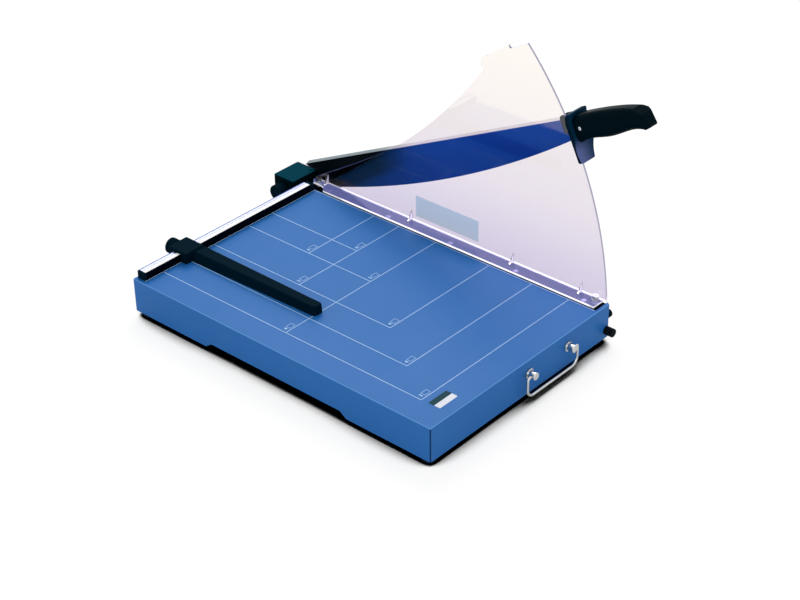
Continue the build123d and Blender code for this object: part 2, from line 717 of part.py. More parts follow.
with BuildPart() as pivot_block:
    with Locations((BLOCK_X1, BLOCK_Y0, BLOCK_Z1)):
        Box(BLOCK_W, BLOCK_D, BLOCK_H, align=(Align.MAX, Align.MIN, Align.MAX))
    fillet(pivot_block.edges().filter_by(Axis.Z), radius=2.0)
    fillet(pivot_block.faces().sort_by(Axis.Z)[-1].edges(), radius=1.0)
    with Locations((BLOCK_MID, PIVOT_Y, PIVOT_Z)):
        Cylinder(BUSH_R, 2 * BLOCK_W, rotation=(0, 90, 0), mode=Mode.SUBTRACT)
    with Locations((BLOCK_X0, BRAKE_POS_Y, BRAKE_Z)):
        Cylinder(
            BRAKE_STUD_R + PIN_FIT,
            BLOCK_W * 1.4,
            rotation=(0, 90, 0),
            mode=Mode.SUBTRACT,
        )
    with Locations(*[(x, BLOCK_Y0, z) for x, z in BLOCK_SCREWS]):
        Cylinder(BLOCK_SCREW_R, 2 * BLOCK_SCREW_L, rotation=(90, 0, 0), mode=Mode.SUBTRACT)
    with Locations(CAP_SCREW_POS):
        Cylinder(CAP_SCREW_R, 2 * CAP_SCREW_L, mode=Mode.SUBTRACT)
save(pivot_block, "pivot_block")

with BuildPart() as block_screws:
    for x, z in BLOCK_SCREWS:
        with Locations(Location((x, BACK - SHEET_T, z), (90, 0, 0))):
            Cylinder(
                BLOCK_SCREW_HEAD_R, 3.0, align=(Align.CENTER, Align.CENTER, Align.MIN)
            )
            Cylinder(
                BLOCK_SCREW_R,
                SHEET_T + BLOCK_SCREW_L,
                align=(Align.CENTER, Align.CENTER, Align.MAX),
            )
save(block_screws, "block_screws")

with BuildPart() as pivot_bush:
    with BuildSketch(Plane(origin=(BLOCK_X0, PIVOT_Y, PIVOT_Z), z_dir=(1, 0, 0))):
        Circle(BUSH_R)
        Circle(BOLT_R + PIN_FIT, mode=Mode.SUBTRACT)
    extrude(amount=BLOCK_W)
save(pivot_bush, "pivot_bush")

with BuildPart() as end_plate:
    with BuildSketch(side_plane(BLOCK_X1)):
        with Locations((BLOCK_Y0, BLOCK_Z1 + 0.8)):
            Rectangle(BLOCK_D, BLOCK_H + 0.8, align=(Align.MIN, Align.MAX))
        with Locations((PIVOT_Y, PIVOT_Z)):
            Circle(BOLT_R + PIN_FIT + 0.2, mode=Mode.SUBTRACT)
    extrude(amount=PLATE_T)
    fillet(end_plate.edges().filter_by(Axis.X), radius=1.6)
save(end_plate, "end_plate")

with BuildPart() as block_cap_screw:
    with Locations(CAP_SCREW_POS):
        Cylinder(2.6, 1.4, align=(Align.CENTER, Align.CENTER, Align.MIN))
        Cylinder(CAP_SCREW_R, CAP_SCREW_L, align=(Align.CENTER, Align.CENTER, Align.MAX))
    fillet(block_cap_screw.faces().sort_by(Axis.Z)[-1].edges(), radius=0.6)
save(block_cap_screw, "block_cap_screw")

with BuildPart() as thrust_washer:
    with BuildSketch(Plane(origin=(BLOCK_X1 + PLATE_T, PIVOT_Y, PIVOT_Z), z_dir=(1, 0, 0))):
        Circle(THRUST_R)
        Circle(BOLT_R + PIN_FIT, mode=Mode.SUBTRACT)
    extrude(amount=BLADE_X - BLOCK_X1 - PLATE_T - PIN_FIT)
save(thrust_washer, "thrust_washer")

# ---- blade, drawn along its own axis ----------------------------------------------------------
BLADE_FACE = blade_plane(BLADE_X + BLADE_T)
EDGE_CURVE = Edge.make_three_point_arc(
    (EDGE_START, EDGE_W0), (EDGE_MID, EDGE_LOW), (BLADE_END, EDGE_W1)
)
EDGE_R = EDGE_CURVE.radius
EDGE_CENTRE = BLADE_FACE.from_local_coords(EDGE_CURVE.arc_center)
EDGE_FIRST = BLADE_FACE.from_local_coords(EDGE_CURVE @ 0)
EDGE_LAST = BLADE_FACE.from_local_coords(EDGE_CURVE @ 1)
BEVEL_RADIAL = (EDGE_FIRST - EDGE_CENTRE).normalized()
BEVEL_ARC = BEVEL_RADIAL.get_angle(EDGE_LAST - EDGE_CENTRE)
BEVEL_TURN = BEVEL_RADIAL.cross(EDGE_LAST - EDGE_CENTRE).X
BEVEL_AXIS = Axis(EDGE_CENTRE, (1 if BEVEL_TURN > 0 else -1, 0, 0))
BEVEL_PLANE = Plane(
    origin=EDGE_CENTRE,
    x_dir=BEVEL_RADIAL,
    z_dir=BEVEL_RADIAL.cross(Vector(1, 0, 0)),
)

with BuildPart() as blade:
    with BuildSketch(BLADE_FACE):
        with BuildLine():
            edge = ThreePointArc((EDGE_START, EDGE_W0), (EDGE_MID, EDGE_LOW), (BLADE_END, EDGE_W1))
            heel = Line(edge @ 1, (GUARD_PLATE_U - 1.5, TANG_W - TANG_H / 2))
            Polyline(
                heel @ 1,
                (GUARD_PLATE_U + TANG_L, TANG_W - TANG_H / 2),
                (GUARD_PLATE_U + TANG_L, TANG_W + TANG_H / 2),
                (GUARD_PLATE_U - 1.5, TANG_W + TANG_H / 2),
                (GUARD_PLATE_U - 3.5, BACK_W1),
                (12.0, BACK_W0),
                (-6.0, 34.0),
            )
            Line((-6.0, 34.0), (-ROOT_R, 0))
            ThreePointArc((-ROOT_R, 0), (0, -ROOT_R), (ROOT_R * 0.86, -ROOT_R * 0.51))
            Line((ROOT_R * 0.86, -ROOT_R * 0.51), edge @ 0)
        make_face()
    extrude(amount=BLADE_T)
    near = blade.faces().sort_by(Axis.X)[0]
    back_edge = near.edges().filter_by(GeomType.LINE).sort_by(SortBy.LENGTH)[-1]
    chamfer(back_edge, length=BACK_CHAMFER, length2=BLADE_T * 0.6, reference=near)
    # ground bevel on the outer side, a cone about the centre of the curved edge
    with BuildSketch(BEVEL_PLANE):
        with BuildLine():
            Polyline(
                (EDGE_R - BEVEL_H, 0),
                (EDGE_R + 1.0, 0),
                (EDGE_R + 1.0, -BEVEL_T * (BEVEL_H + 1.0) / BEVEL_H),
                close=True,
            )
        make_face()
    revolve(axis=BEVEL_AXIS, revolution_arc=BEVEL_ARC, mode=Mode.SUBTRACT)
    with BuildSketch(BLADE_FACE):
        Circle(BOLT_R)
    extrude(amount=BLADE_T, mode=Mode.SUBTRACT)
    with BuildSketch(BLADE_FACE):
        with Locations(GRIP_SCREW):
            Circle(GRIP_SCREW_R)
    extrude(amount=BLADE_T, mode=Mode.SUBTRACT)
save(blade, "blade")

PIVOT_PLANE_X = BLADE_X + BLADE_T
with BuildPart() as blade_washer:
    with BuildSketch(Plane(origin=(PIVOT_PLANE_X, PIVOT_Y, PIVOT_Z), z_dir=(1, 0, 0))):
        Circle(WASHER_R)
        Circle(BOLT_R, mode=Mode.SUBTRACT)
    extrude(amount=WASHER_T)
save(blade_washer, "blade_washer")

BOLT_HEAD_X = PIVOT_PLANE_X + WASHER_T
NUT_X = BLOCK_X0 - SPRING_H
BOLT_END_X = NUT_X - NUT_H - 2.0
with BuildPart() as pivot_bolt:
    with BuildSketch(Plane(origin=(BOLT_HEAD_X, PIVOT_Y, PIVOT_Z), z_dir=(1, 0, 0))):
        RegularPolygon(BOLT_HEX_R, 6)
    extrude(amount=BOLT_HEAD_T)
    fillet(pivot_bolt.faces().sort_by(Axis.X)[-1].edges(), radius=0.8)
    with BuildSketch(Plane(origin=(BOLT_END_X, PIVOT_Y, PIVOT_Z), z_dir=(1, 0, 0))):
        Circle(BOLT_R)
    extrude(amount=BOLT_HEAD_X - BOLT_END_X)
save(pivot_bolt, "pivot_bolt")

with BuildPart() as disc_springs:
    with BuildSketch(Plane(origin=(0, PIVOT_Y, PIVOT_Z), x_dir=(1, 0, 0), z_dir=(0, 0, 1))):
        with BuildLine():
            Polyline(
                (BLOCK_X0 - PIN_FIT, THRUST_R),
                (BLOCK_X0 - PIN_FIT - 1.0, THRUST_R),
                (NUT_X, BOLT_R + PIN_FIT + 1.2),
                (NUT_X, BOLT_R + PIN_FIT),
                (NUT_X + 1.0, BOLT_R + PIN_FIT),
                close=True,
            )
        make_face()
    revolve(axis=Axis((0, PIVOT_Y, PIVOT_Z), (1, 0, 0)))
save(disc_springs, "disc_springs")

with BuildPart() as pivot_nut:
    with BuildSketch(Plane(origin=(NUT_X, PIVOT_Y, PIVOT_Z), z_dir=(-1, 0, 0))):
        RegularPolygon(BOLT_HEX_R, 6)
        Circle(BOLT_R, mode=Mode.SUBTRACT)
    extrude(amount=NUT_H)
save(pivot_nut, "pivot_nut")

# ---- brake knob on the pivot block ------------------------------------------------------------
BRAKE_X = BLOCK_X0 - 1.0
with BuildPart() as brake_knob:
    with BuildSketch(Plane(origin=(BRAKE_X, BRAKE_POS_Y, BRAKE_Z), z_dir=(-1, 0, 0))):
        knurled(BRAKE_R, 32)
    extrude(amount=BRAKE_T)
    with BuildSketch(Plane(origin=(BRAKE_X - BRAKE_T, BRAKE_POS_Y, BRAKE_Z), z_dir=(-1, 0, 0))):
        Circle(BRAKE_R * 0.62)
    extrude(amount=-0.8, mode=Mode.SUBTRACT)
    with Locations((BRAKE_X, BRAKE_POS_Y, BRAKE_Z)):
        Cylinder(BRAKE_STUD_R, BRAKE_T, rotation=(0, 90, 0), mode=Mode.SUBTRACT)
save(brake_knob, "brake_knob")

with BuildPart() as brake_stud:
    with BuildSketch(Plane(origin=(BRAKE_X - BRAKE_T / 2, BRAKE_POS_Y, BRAKE_Z), z_dir=(1, 0, 0))):
        Circle(BRAKE_STUD_R)
    extrude(amount=BRAKE_T / 2 + 1.0 + BLOCK_W * 0.6)
save(brake_stud, "brake_stud")

# ---- hand guard and grip ----------------------------------------------------------------------
MID_FACE = blade_plane(BLADE_MID)
HAND_FACE = Plane(origin=MID_FACE.origin, x_dir=(1, 0, 0), z_dir=MID_FACE.x_dir)
GRIP_U0 = GUARD_PLATE_U + GUARD_PLATE_T
GRIP_U1 = GRIP_U0 + GRIP_L

with BuildPart() as hand_guard:
    with BuildSketch(MID_FACE):
        with BuildLine():
            Polyline(
                (GUARD_PLATE_U, HAND_LOW),
                (GUARD_PLATE_U, HAND_LIP),
                (GUARD_PLATE_U + HAND_LEAN, HAND_TOP),
                (GRIP_U0 + HAND_LEAN, HAND_TOP),
                (GRIP_U0, HAND_LIP),
                (GRIP_U0, GRIP_LOW + 4.0),
            )
            ThreePointArc(
                (GRIP_U0, GRIP_LOW + 4.0),
                (GUARD_PLATE_U + GUARD_PLATE_T * 0.55, 0.0),
                (GUARD_PLATE_U + GUARD_PLATE_T * 0.9, HAND_LOW),
            )
            Line((GUARD_PLATE_U + GUARD_PLATE_T * 0.9, HAND_LOW), (GUARD_PLATE_U, HAND_LOW))
        make_face()
    extrude(amount=HAND_NEAR + HAND_FAR, both=True)
    # outline of the plate, seen along the blade
    with BuildSketch(HAND_FACE) as hand_outline:
        with BuildLine():
            Polyline(
                (-HAND_NEAR, HAND_LOW),
                (-HAND_NEAR, HAND_TOP),
                (HAND_FAR, HAND_TOP),
                (HAND_FAR, HAND_TAPER),
                (HAND_FOOT, HAND_LOW),
                close=True,
            )
        make_face()
        fillet(hand_outline.vertices(), radius=HAND_CORNER)
    extrude(amount=2 * REACH, mode=Mode.INTERSECT)
    with BuildSketch(blade_plane(BLADE_X + BLADE_T + COLLAR_FAR)):
        with Locations(
            (GUARD_PLATE_U + (COLLAR_IN - COLLAR_L) / 2, (COLLAR_LOW + COLLAR_TOP) / 2)
        ):
            RectangleRounded(COLLAR_L + COLLAR_IN, COLLAR_TOP - COLLAR_LOW, 4.0)
    extrude(amount=COLLAR_NEAR + BLADE_T + COLLAR_FAR)
    with BuildSketch(blade_plane(BLADE_X + BLADE_T)):
        with Locations((GUARD_PLATE_U, TANG_W)):
            Rectangle(4 * COLLAR_L, TANG_H)
        with Locations((GUARD_PLATE_U - 1.5, (EDGE_W1 + BACK_W0) / 2)):
            Rectangle(3 * COLLAR_L, BACK_W0 + HAND_TOP, align=(Align.MAX, Align.CENTER))
    extrude(amount=BLADE_T, mode=Mode.SUBTRACT)
save(hand_guard, "hand_guard")


def grip_point(along, up):
    """Point on the grip's side outline, in shares of its length and height."""
    return (GRIP_U0 + along * GRIP_L, GRIP_LOW + up * (GRIP_TOP - GRIP_LOW))


with BuildPart() as grip:
    with BuildSketch(MID_FACE):
        with BuildLine():
            Line(grip_point(0, 0), grip_point(0, 0.98))
            Spline(
                grip_point(0, 0.98),
                grip_point(0.20, 1.0),
                grip_point(0.44, 0.99),
                grip_point(0.68, 0.94),
                grip_point(0.85, 0.861),
            )
            Polyline(
                grip_point(0.85, 0.861),
                grip_point(0.95, 0.604),
                grip_point(1.0, 0.18),
                grip_point(0.98, 0.107),
                grip_point(0.908, 0.062),
            )
            Spline(
                grip_point(0.908, 0.062),
                grip_point(0.746, 0.136),
                grip_point(0.558, 0.071),
                grip_point(0.39, 0.038),
                grip_point(0.142, 0.08),
                grip_point(0, 0),
            )
        make_face()
    extrude(amount=GRIP_W / 2, both=True)
    side_faces = grip.faces().filter_by(Axis.X)
    fillet(
        side_faces.edges().filter_by(GeomType.BSPLINE),
        radius=GRIP_ROUND,
    )
    # flats at the butt
    with BuildSketch(Plane(origin=MID_FACE.origin, x_dir=MID_FACE.x_dir, z_dir=MID_FACE.y_dir)):
        with BuildLine():
            Polyline(
                (GRIP_U1 - BUTT_FACET_L, GRIP_W / 2),
                (GRIP_U1, GRIP_W / 2 - BUTT_FACET_T),
                (GRIP_U1 + 1.0, GRIP_W / 2 + 1.0),
                close=True,
            )
        make_face()
        mirror(about=Plane.XZ)
    extrude(amount=2 * GRIP_TOP, mode=Mode.SUBTRACT)
    add(hand_guard.part, mode=Mode.SUBTRACT)
    with BuildSketch(blade_plane(BLADE_X + BLADE_T)):
        with Locations((GRIP_U0 - 1.0, TANG_W)):
            Rectangle(
                TANG_L - GUARD_PLATE_T + 1.0,
                TANG_H,
                align=(Align.MIN, Align.CENTER),
            )
    extrude(amount=BLADE_T, mode=Mode.SUBTRACT)
    with BuildSketch(blade_plane(BLADE_MID + GRIP_W)):
        with Locations(GRIP_SCREW):
            Circle(GRIP_SCREW_R)
    extrude(amount=2 * GRIP_W, mode=Mode.SUBTRACT)
save(grip, "grip")

with BuildPart() as grip_screw:
    with BuildSketch(blade_plane(BLADE_MID + GRIP_W / 2 - GRIP_SCREW_IN)):
        with Locations(GRIP_SCREW):
            Circle(GRIP_SCREW_R)
    extrude(amount=GRIP_W - 2 * GRIP_SCREW_IN)
    with BuildSketch(blade_plane(BLADE_MID - GRIP_W / 2 + GRIP_SCREW_IN)):
        with Locations(GRIP_SCREW):
            Rectangle(4 * GRIP_SCREW_R, 0.8)
    extrude(amount=-1.0, mode=Mode.SUBTRACT)
save(grip_screw, "grip_screw")

# ---- clear guard ------------------------------------------------------------------------------
SHEET_X1 = RIGHT - SHEET_X
SHEET_X0 = SHEET_X1 - GUARD_T
CLAMP_Z0 = TOP_Z + CLAMP_GAP
CLAMP_Z1 = CLAMP_Z0 + CLAMP_T
CLAMP_Y0 = FRONT + CLAMP_FRONT
CLAMP_Y1 = BACK - CLAMP_BACK
SHEET_Y1 = BACK - GUARD_END


GUARD_TIP_Z = CLAMP_Z1 + 1.5


def on_rim(angle):
    """Point on the guard's outer rim, at an angle above level from the pivot."""
    reach = Vector(GUARD_R, 0).rotate(Axis.Z, angle)
    return (PIVOT_Y - reach.X, PIVOT_Z + reach.Y)


def by_corner(behind, below):
    """Point behind and below the guard's top corner."""
    corner = on_rim(GUARD_TOP)
    return (corner[0] + behind, corner[1] - below)


RIM_LOW_Y = PIVOT_Y - (GUARD_R**2 - (CLAMP_Z0 - PIVOT_Z) ** 2) ** 0.5

with BuildPart() as guard_sheet:
    # upright sheet beside the blade
    with BuildSketch(side_plane(SHEET_X0)):
        with BuildLine():
            rim = ThreePointArc((RIM_LOW_Y, CLAMP_Z0), on_rim(22.0), on_rim(GUARD_TOP))
            # hooked slot beside the top corner
            Line(rim @ 1, by_corner(24.0, 13.0))
            ThreePointArc(by_corner(24.0, 13.0), by_corner(27.3, 11.1), by_corner(24.4, 8.1))
            Polyline(by_corner(24.4, 8.1), by_corner(20.4, 3.5), by_corner(60.0, 32.3))
            ThreePointArc(by_corner(60.0, 32.3), by_corner(69.0, 44.8), by_corner(65.0, 53.8))
            # hollow back edge
            Spline(
                by_corner(65.0, 53.8),
                *[(PIVOT_Y - ahead, PIVOT_Z + above) for ahead, above in GUARD_HOLLOW],
                (SHEET_Y1 - 6.0, GUARD_TIP_Z + 4.0),
            )
            Polyline(
                (SHEET_Y1 - 6.0, GUARD_TIP_Z + 4.0),
                (SHEET_Y1, GUARD_TIP_Z),
                (SHEET_Y1, CLAMP_Z0),
                rim @ 0,
            )
        make_face()
    extrude(amount=GUARD_T)
    # clamp flange that presses the paper on the bed
    with BuildSketch(Plane.XY.offset(CLAMP_Z0)):
        with BuildLine():
            Polyline(
                (SHEET_X1, CLAMP_Y0),
                (SHEET_X1 - CLAMP_W, CLAMP_Y0),
                (SHEET_X1 - CLAMP_W, CLAMP_Y1),
                (SHEET_X1 - TONGUE_W - 2.0, CLAMP_Y1 + 6.0),
                (SHEET_X1 - TONGUE_W, CLAMP_Y1 + 12.0),
                (SHEET_X1 - TONGUE_W, CLAMP_Y1 + TONGUE_L - 5.0),
                (SHEET_X1 - TONGUE_W + 5.0, CLAMP_Y1 + TONGUE_L),
                (SHEET_X1, CLAMP_Y1 + TONGUE_L),
                close=True,
            )
        make_face()
    extrude(amount=CLAMP_T)
    # gussets
    for y in GUSSET_Y:
        with BuildSketch(front_plane(y)):
            with BuildLine():
                Polyline(
                    (SHEET_X0, CLAMP_Z1),
                    (SHEET_X0, CLAMP_Z1 + GUSSET_H),
                    (SHEET_X0 - GUSSET_W, CLAMP_Z1),
                    close=True,
                )
            make_face()
        extrude(amount=GUSSET_T / 2, both=True)
    with Locations(*[(x, y, CLAMP_Z0) for x, y in GUIDES]):
        Cylinder(GUIDE_R + PIN_FIT, 4 * CLAMP_T, mode=Mode.SUBTRACT)
save(guard_sheet, "guard_sheet")

with BuildPart() as guard_film:
    with BuildSketch(side_plane(SHEET_X0)):
        with Locations((LABEL_Y, TOP_Z + LABEL_Z)):
            Rectangle(LABEL_L, LABEL_H)
    extrude(amount=-FILM_T)
save(guard_film, "guard_film")

with BuildPart() as guide_washers:
    with BuildSketch(Plane.XY.offset(CLAMP_Z1)):
        with Locations(*GUIDES):
            Circle(GUIDE_WASHER_R)
            Circle(GUIDE_R + PIN_FIT, mode=Mode.SUBTRACT)
    extrude(amount=GUIDE_WASHER_T)
save(guide_washers, "guide_washers")

GUIDE_HEAD_Z = CLAMP_Z1 + GUIDE_WASHER_T + PIN_FIT
with BuildPart() as guide_screws:
    with BuildSketch(Plane.XY.offset(SHELF_Z)):
        with Locations(*GUIDES):
            Circle(GUIDE_R)
    extrude(amount=GUIDE_HEAD_Z - SHELF_Z)
    with BuildSketch(Plane.XY.offset(GUIDE_HEAD_Z)):
        with Locations(*GUIDES):
            Circle(GUIDE_HEAD_R)
            with PolarLocations(GUIDE_HEAD_R + 0.2, 20):
                Circle(0.5, mode=Mode.SUBTRACT)
    extrude(amount=GUIDE_HEAD_H)
    with Locations(*[(x, y, GUIDE_HEAD_Z + GUIDE_HEAD_H) for x, y in GUIDES]):
        Box(4 * GUIDE_HEAD_R, 1.0, 1.6, mode=Mode.SUBTRACT)
save(guide_screws, "guide_screws")

COIL_Z0 = TOP_Z - SPRING_POCKET_H + COIL_WIRE + COIL_END_GAP
COIL_H = CLAMP_Z0 - COIL_END_GAP - COIL_WIRE - COIL_Z0
with BuildPart() as guide_springs:
    for x, y in GUIDES:
        with BuildLine(Plane.XY.offset(COIL_Z0)) as coil:
            Helix(
                pitch=COIL_H / COIL_TURNS,
                height=COIL_H,
                radius=COIL_R,
                center=(x, y, 0),
            )
        with BuildSketch(Plane(origin=coil.wire() @ 0, z_dir=coil.wire() % 0)):
            Circle(COIL_WIRE)
        sweep(path=coil.wire(), is_frenet=True)
save(guide_springs, "guide_springs")

# ---- carrying bail ----------------------------------------------------------------------------
POSTS = [BAIL_X - POST_PITCH / 2, BAIL_X + POST_PITCH / 2]
BAIL_Y = FRONT - BAIL_OUT

with BuildPart() as bail_posts:
    for x, side in zip(POSTS, (-1, 1)):
        with BuildSketch(Plane(origin=(x, FRONT, POST_Z), z_dir=(0, -1, 0))):
            Circle(POST_FLANGE_R)
        extrude(amount=POST_FLANGE_T)
        with BuildSketch(Plane(origin=(x, FRONT, POST_Z), z_dir=(0, -1, 0))):
            Circle(POST_R)
        extrude(amount=POST_L)
    fillet(bail_posts.faces().group_by(Axis.Y)[0].edges(), radius=1.0)
    for x, side in zip(POSTS, (-1, 1)):
        with BuildSketch(Plane(origin=(x, FRONT, POST_Z), z_dir=(0, 1, 0))):
            Circle(POST_SCREW_R)
        extrude(amount=SHEET_T + 7.0)
        with BuildSketch(
            Plane(origin=(x + side * POST_R * 1.2, BAIL_Y, POST_Z), z_dir=(-side, 0, 0))
        ):
            Circle(BAIL_R + PIN_FIT)
        extrude(amount=POST_R * 0.2 + BAIL_SEAT + 0.3, mode=Mode.SUBTRACT)
save(bail_posts, "bail_posts")

with BuildPart() as post_nuts:
    for x in POSTS:
        with BuildSketch(Plane(origin=(x, FRONT + SHEET_T, POST_Z), z_dir=(0, 1, 0))):
            RegularPolygon(POST_R, 6)
            Circle(POST_SCREW_R, mode=Mode.SUBTRACT)
        extrude(amount=4.0)
save(post_nuts, "post_nuts")

BAIL_END = POST_PITCH / 2 + POST_R - BAIL_SEAT
with BuildPart() as carry_bail:
    with BuildLine(front_plane(BAIL_Y)) as bail_path:
        FilletPolyline(
            (BAIL_X - BAIL_END, POST_Z),
            (BAIL_X - BAIL_W / 2, POST_Z),
            (BAIL_X - BAIL_W / 2, POST_Z - BAIL_DROP),
            (BAIL_X + BAIL_W / 2, POST_Z - BAIL_DROP),
            (BAIL_X + BAIL_W / 2, POST_Z),
            (BAIL_X + BAIL_END, POST_Z),
            radius=(3.2, 11.0, 11.0, 3.2),
        )
    with BuildSketch(Plane(origin=bail_path.wire() @ 0, z_dir=bail_path.wire() % 0)):
        Circle(BAIL_R)
    sweep()
save(carry_bail, "carry_bail")

# ---- handle bumper and side catch -------------------------------------------------------------
BUMPER_POS = (RIGHT - BUMPER_X, FRONT, BUMPER_Z)
with BuildPart() as handle_bumper:
    with BuildSketch(Plane(origin=BUMPER_POS, z_dir=(0, -1, 0))):
        Circle(BUMPER_R)
    extrude(amount=BUMPER_L)
    fillet(handle_bumper.faces().sort_by(Axis.Y)[0].edges(), radius=1.2)
    with BuildSketch(Plane(origin=BUMPER_POS, z_dir=(0, -1, 0))):
        Circle(BUMPER_SCREW_R)
    extrude(amount=BUMPER_SCREW_L, mode=Mode.SUBTRACT)
save(handle_bumper, "handle_bumper")

with BuildPart() as bumper_screw:
    with BuildSketch(Plane(origin=BUMPER_POS, z_dir=(0, -1, 0))):
        Circle(BUMPER_SCREW_R)
    extrude(amount=BUMPER_SCREW_L)
    with BuildSketch(Plane(origin=BUMPER_POS, z_dir=(0, 1, 0))):
        Circle(BUMPER_SCREW_R)
    extrude(amount=SHEET_T)
    with BuildSketch(
        Plane(origin=(RIGHT - BUMPER_X, FRONT + SHEET_T, BUMPER_Z), z_dir=(0, 1, 0))
    ):
        Circle(BUMPER_HEAD_R)
    extrude(amount=2.4)
save(bumper_screw, "bumper_screw")

CATCH_POS_Y = FRONT + CATCH_Y
CATCH_X = RIGHT + CATCH_GAP
CATCH_BASE = CATCH_X + TAB_T
CATCH_END = CATCH_BASE + CATCH_L
CATCH_SEAT = CATCH_END - CATCH_HEAD_T


def catch_plane(x):
    """Plane across the side catch at x, with Y to its right and Z up."""
    return Plane(origin=(x, CATCH_POS_Y, CATCH_Z), x_dir=(0, 1, 0), z_dir=(1, 0, 0))


with BuildPart() as catch_screw:
    with BuildSketch(catch_plane(RIGHT - SHEET_T - 1.2)):
        Circle(CATCH_PIN_R)
    extrude(amount=CATCH_SEAT + PIN_FIT - RIGHT + SHEET_T + 1.2)
    with BuildSketch(catch_plane(CATCH_SEAT + PIN_FIT)):
        Circle(CATCH_HEAD_R)
    extrude(amount=CATCH_HEAD_T)
save(catch_screw, "catch_screw")

with BuildPart() as catch_knob:
    with BuildSketch(catch_plane(CATCH_BASE)):
        Circle(CATCH_R)
    extrude(amount=CATCH_L)
    fillet(catch_knob.faces().sort_by(Axis.X)[-1].edges(), radius=1.0)
    with BuildSketch(catch_plane(CATCH_BASE)):
        Circle(CATCH_PIN_R + PIN_FIT)
    extrude(amount=CATCH_L, mode=Mode.SUBTRACT)
    with BuildSketch(catch_plane(CATCH_SEAT)):
        Circle(CATCH_HEAD_R + PIN_FIT)
    extrude(amount=CATCH_HEAD_T, mode=Mode.SUBTRACT)
save(catch_knob, "catch_knob")

with BuildPart() as catch_tab:
    with BuildSketch(catch_plane(CATCH_X)):
        Circle(TAB_W / 2 + 1.0)
        with Locations((0, TAB_H / 2)):
            Rectangle(TAB_W, TAB_H)
        Circle(CATCH_PIN_R + PIN_FIT, mode=Mode.SUBTRACT)
    extrude(amount=TAB_T)
    with Locations((CATCH_X, CATCH_POS_Y, CATCH_Z + TAB_H)):
        Box(TAB_LIP, TAB_W, TAB_T, align=(Align.MIN, Align.CENTER, Align.MAX))
save(catch_tab, "catch_tab")

with BuildPart() as name_plate:
    with BuildSketch(Plane.XY.offset(TOP_Z)):
        with Locations((PLATE_LEFT - RIGHT, FRONT + PLATE_FRONT)):
            RectangleRounded(PLATE_W, PLATE_D, 1.0)
    extrude(amount=NAME_T)
save(name_plate, "name_plate")
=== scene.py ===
"""Finishes, printed marks and stage for a guillotine paper cutter."""

import math

import bmesh
import bpy
from bpy.props import FloatProperty, FloatVectorProperty, PointerProperty
from mathutils import Matrix, Vector


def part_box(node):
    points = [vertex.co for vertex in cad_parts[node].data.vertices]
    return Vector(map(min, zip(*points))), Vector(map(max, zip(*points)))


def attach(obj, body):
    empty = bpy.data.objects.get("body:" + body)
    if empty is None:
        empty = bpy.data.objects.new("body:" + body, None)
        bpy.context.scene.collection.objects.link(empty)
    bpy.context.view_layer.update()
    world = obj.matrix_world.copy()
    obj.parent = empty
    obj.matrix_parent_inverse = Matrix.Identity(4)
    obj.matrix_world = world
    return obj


bl_info = {
    "name": "Guillotine Paper Cutter",
    "version": (1, 0, 0),
    "blender": (4, 5, 0),
    "location": "3D View > Sidebar > Cutter",
    "description": "Dresses the packed paper cutter with its finishes, printed marks and stage",
    "category": "Object",
}

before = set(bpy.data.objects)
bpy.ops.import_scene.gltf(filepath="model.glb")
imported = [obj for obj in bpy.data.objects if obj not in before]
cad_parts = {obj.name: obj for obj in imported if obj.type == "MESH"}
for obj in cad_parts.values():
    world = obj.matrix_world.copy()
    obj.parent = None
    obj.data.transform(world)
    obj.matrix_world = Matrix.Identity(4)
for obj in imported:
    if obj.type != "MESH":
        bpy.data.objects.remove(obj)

MM = 0.001

# places taken from the packed model, in metres
BASE_LOW, BASE_HIGH = (Vector(corner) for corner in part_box("base_housing"))
TOP_Z = BASE_HIGH.z
CUT_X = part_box("bed_knife")[1][0]
BAR_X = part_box("bed_bar")[0][0]
FENCE_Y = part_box("fence_rail")[0][1]
SCALE_LOW, SCALE_HIGH = (Vector(corner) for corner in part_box("scale_strip"))
GUARD_LOW, GUARD_HIGH = (Vector(corner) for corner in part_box("guard_sheet"))
BLADE_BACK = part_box("blade")[1][1]

# format lines: length of each by its distance from the fence, then from the cutting line, in mm
ACROSS = {105: 148, 148: 210, 210: 297, 297: 210, 364: 257, 420: 297}
ALONG = {105: 148, 148: 210, 210: 297, 257: 364, 297: 420}
LINE_MARGIN = 5 * MM

# page signs: distance from the fence, distance from the cutting line, both in mm, and the number
SIGNS = (
    (420, 297, "3"),
    (364, 257, "4"),
    (297, 210, "4"),
    (210, 297, "4"),
    (210, 148, "5"),
    (148, 210, "5"),
    (148, 105, "6"),
    (105, 148, "6"),
)
PAGE_SHAPE = 0.7  # depth of a page sign for a length of one
PAGE_LINE = 0.6  # its line for a format line of one

# marks on the scale: their reach by the last digit of their distance, and their place on it
MARK_REACH = {0: 3.2 * MM, 5: 2.4 * MM}
SHORT_REACH = 1.6 * MM
MARK_START = 0.2 * MM
DIGIT_INSET = 2.2 * MM

# painted shade on the blade, darker towards its pivot: start and end of each soft change, in
# front of the blade's rear end, and the soft band under the line through its pivot, above which
# the darkest painted shade lies
DEEP_SHADE_ENDS = (260 * MM, 60 * MM)
ROOT_SHADE_ENDS = (210 * MM, 130 * MM)
ROOT_SHADE_DEPTH = 14 * MM
BLADE_ACROSS = Vector((0.0, 0.555, 0.832))

FLAT = 0.7  # part of the normal over which a face counts as square to an axis
# the bright line along the guard's foot is a painted glow
FOOT_GLOW_HEIGHT = 3.7 * MM  # height of the bright line along the guard's foot
# the guard's tint by height carries a painted reflection near its top and painted shade near its
# foot
TINT_MIDDLE = 0.35  # where the guard's middle tint lies between its foot and its top
GUIDE_SPLIT = 0.7  # where the darker back of the guide strip starts
WEAR = 0.25  # how far handling moves a finish to its paler colour

BLACK = (0.0, 0.0, 0.0)
WHITE = (1.0, 1.0, 1.0)


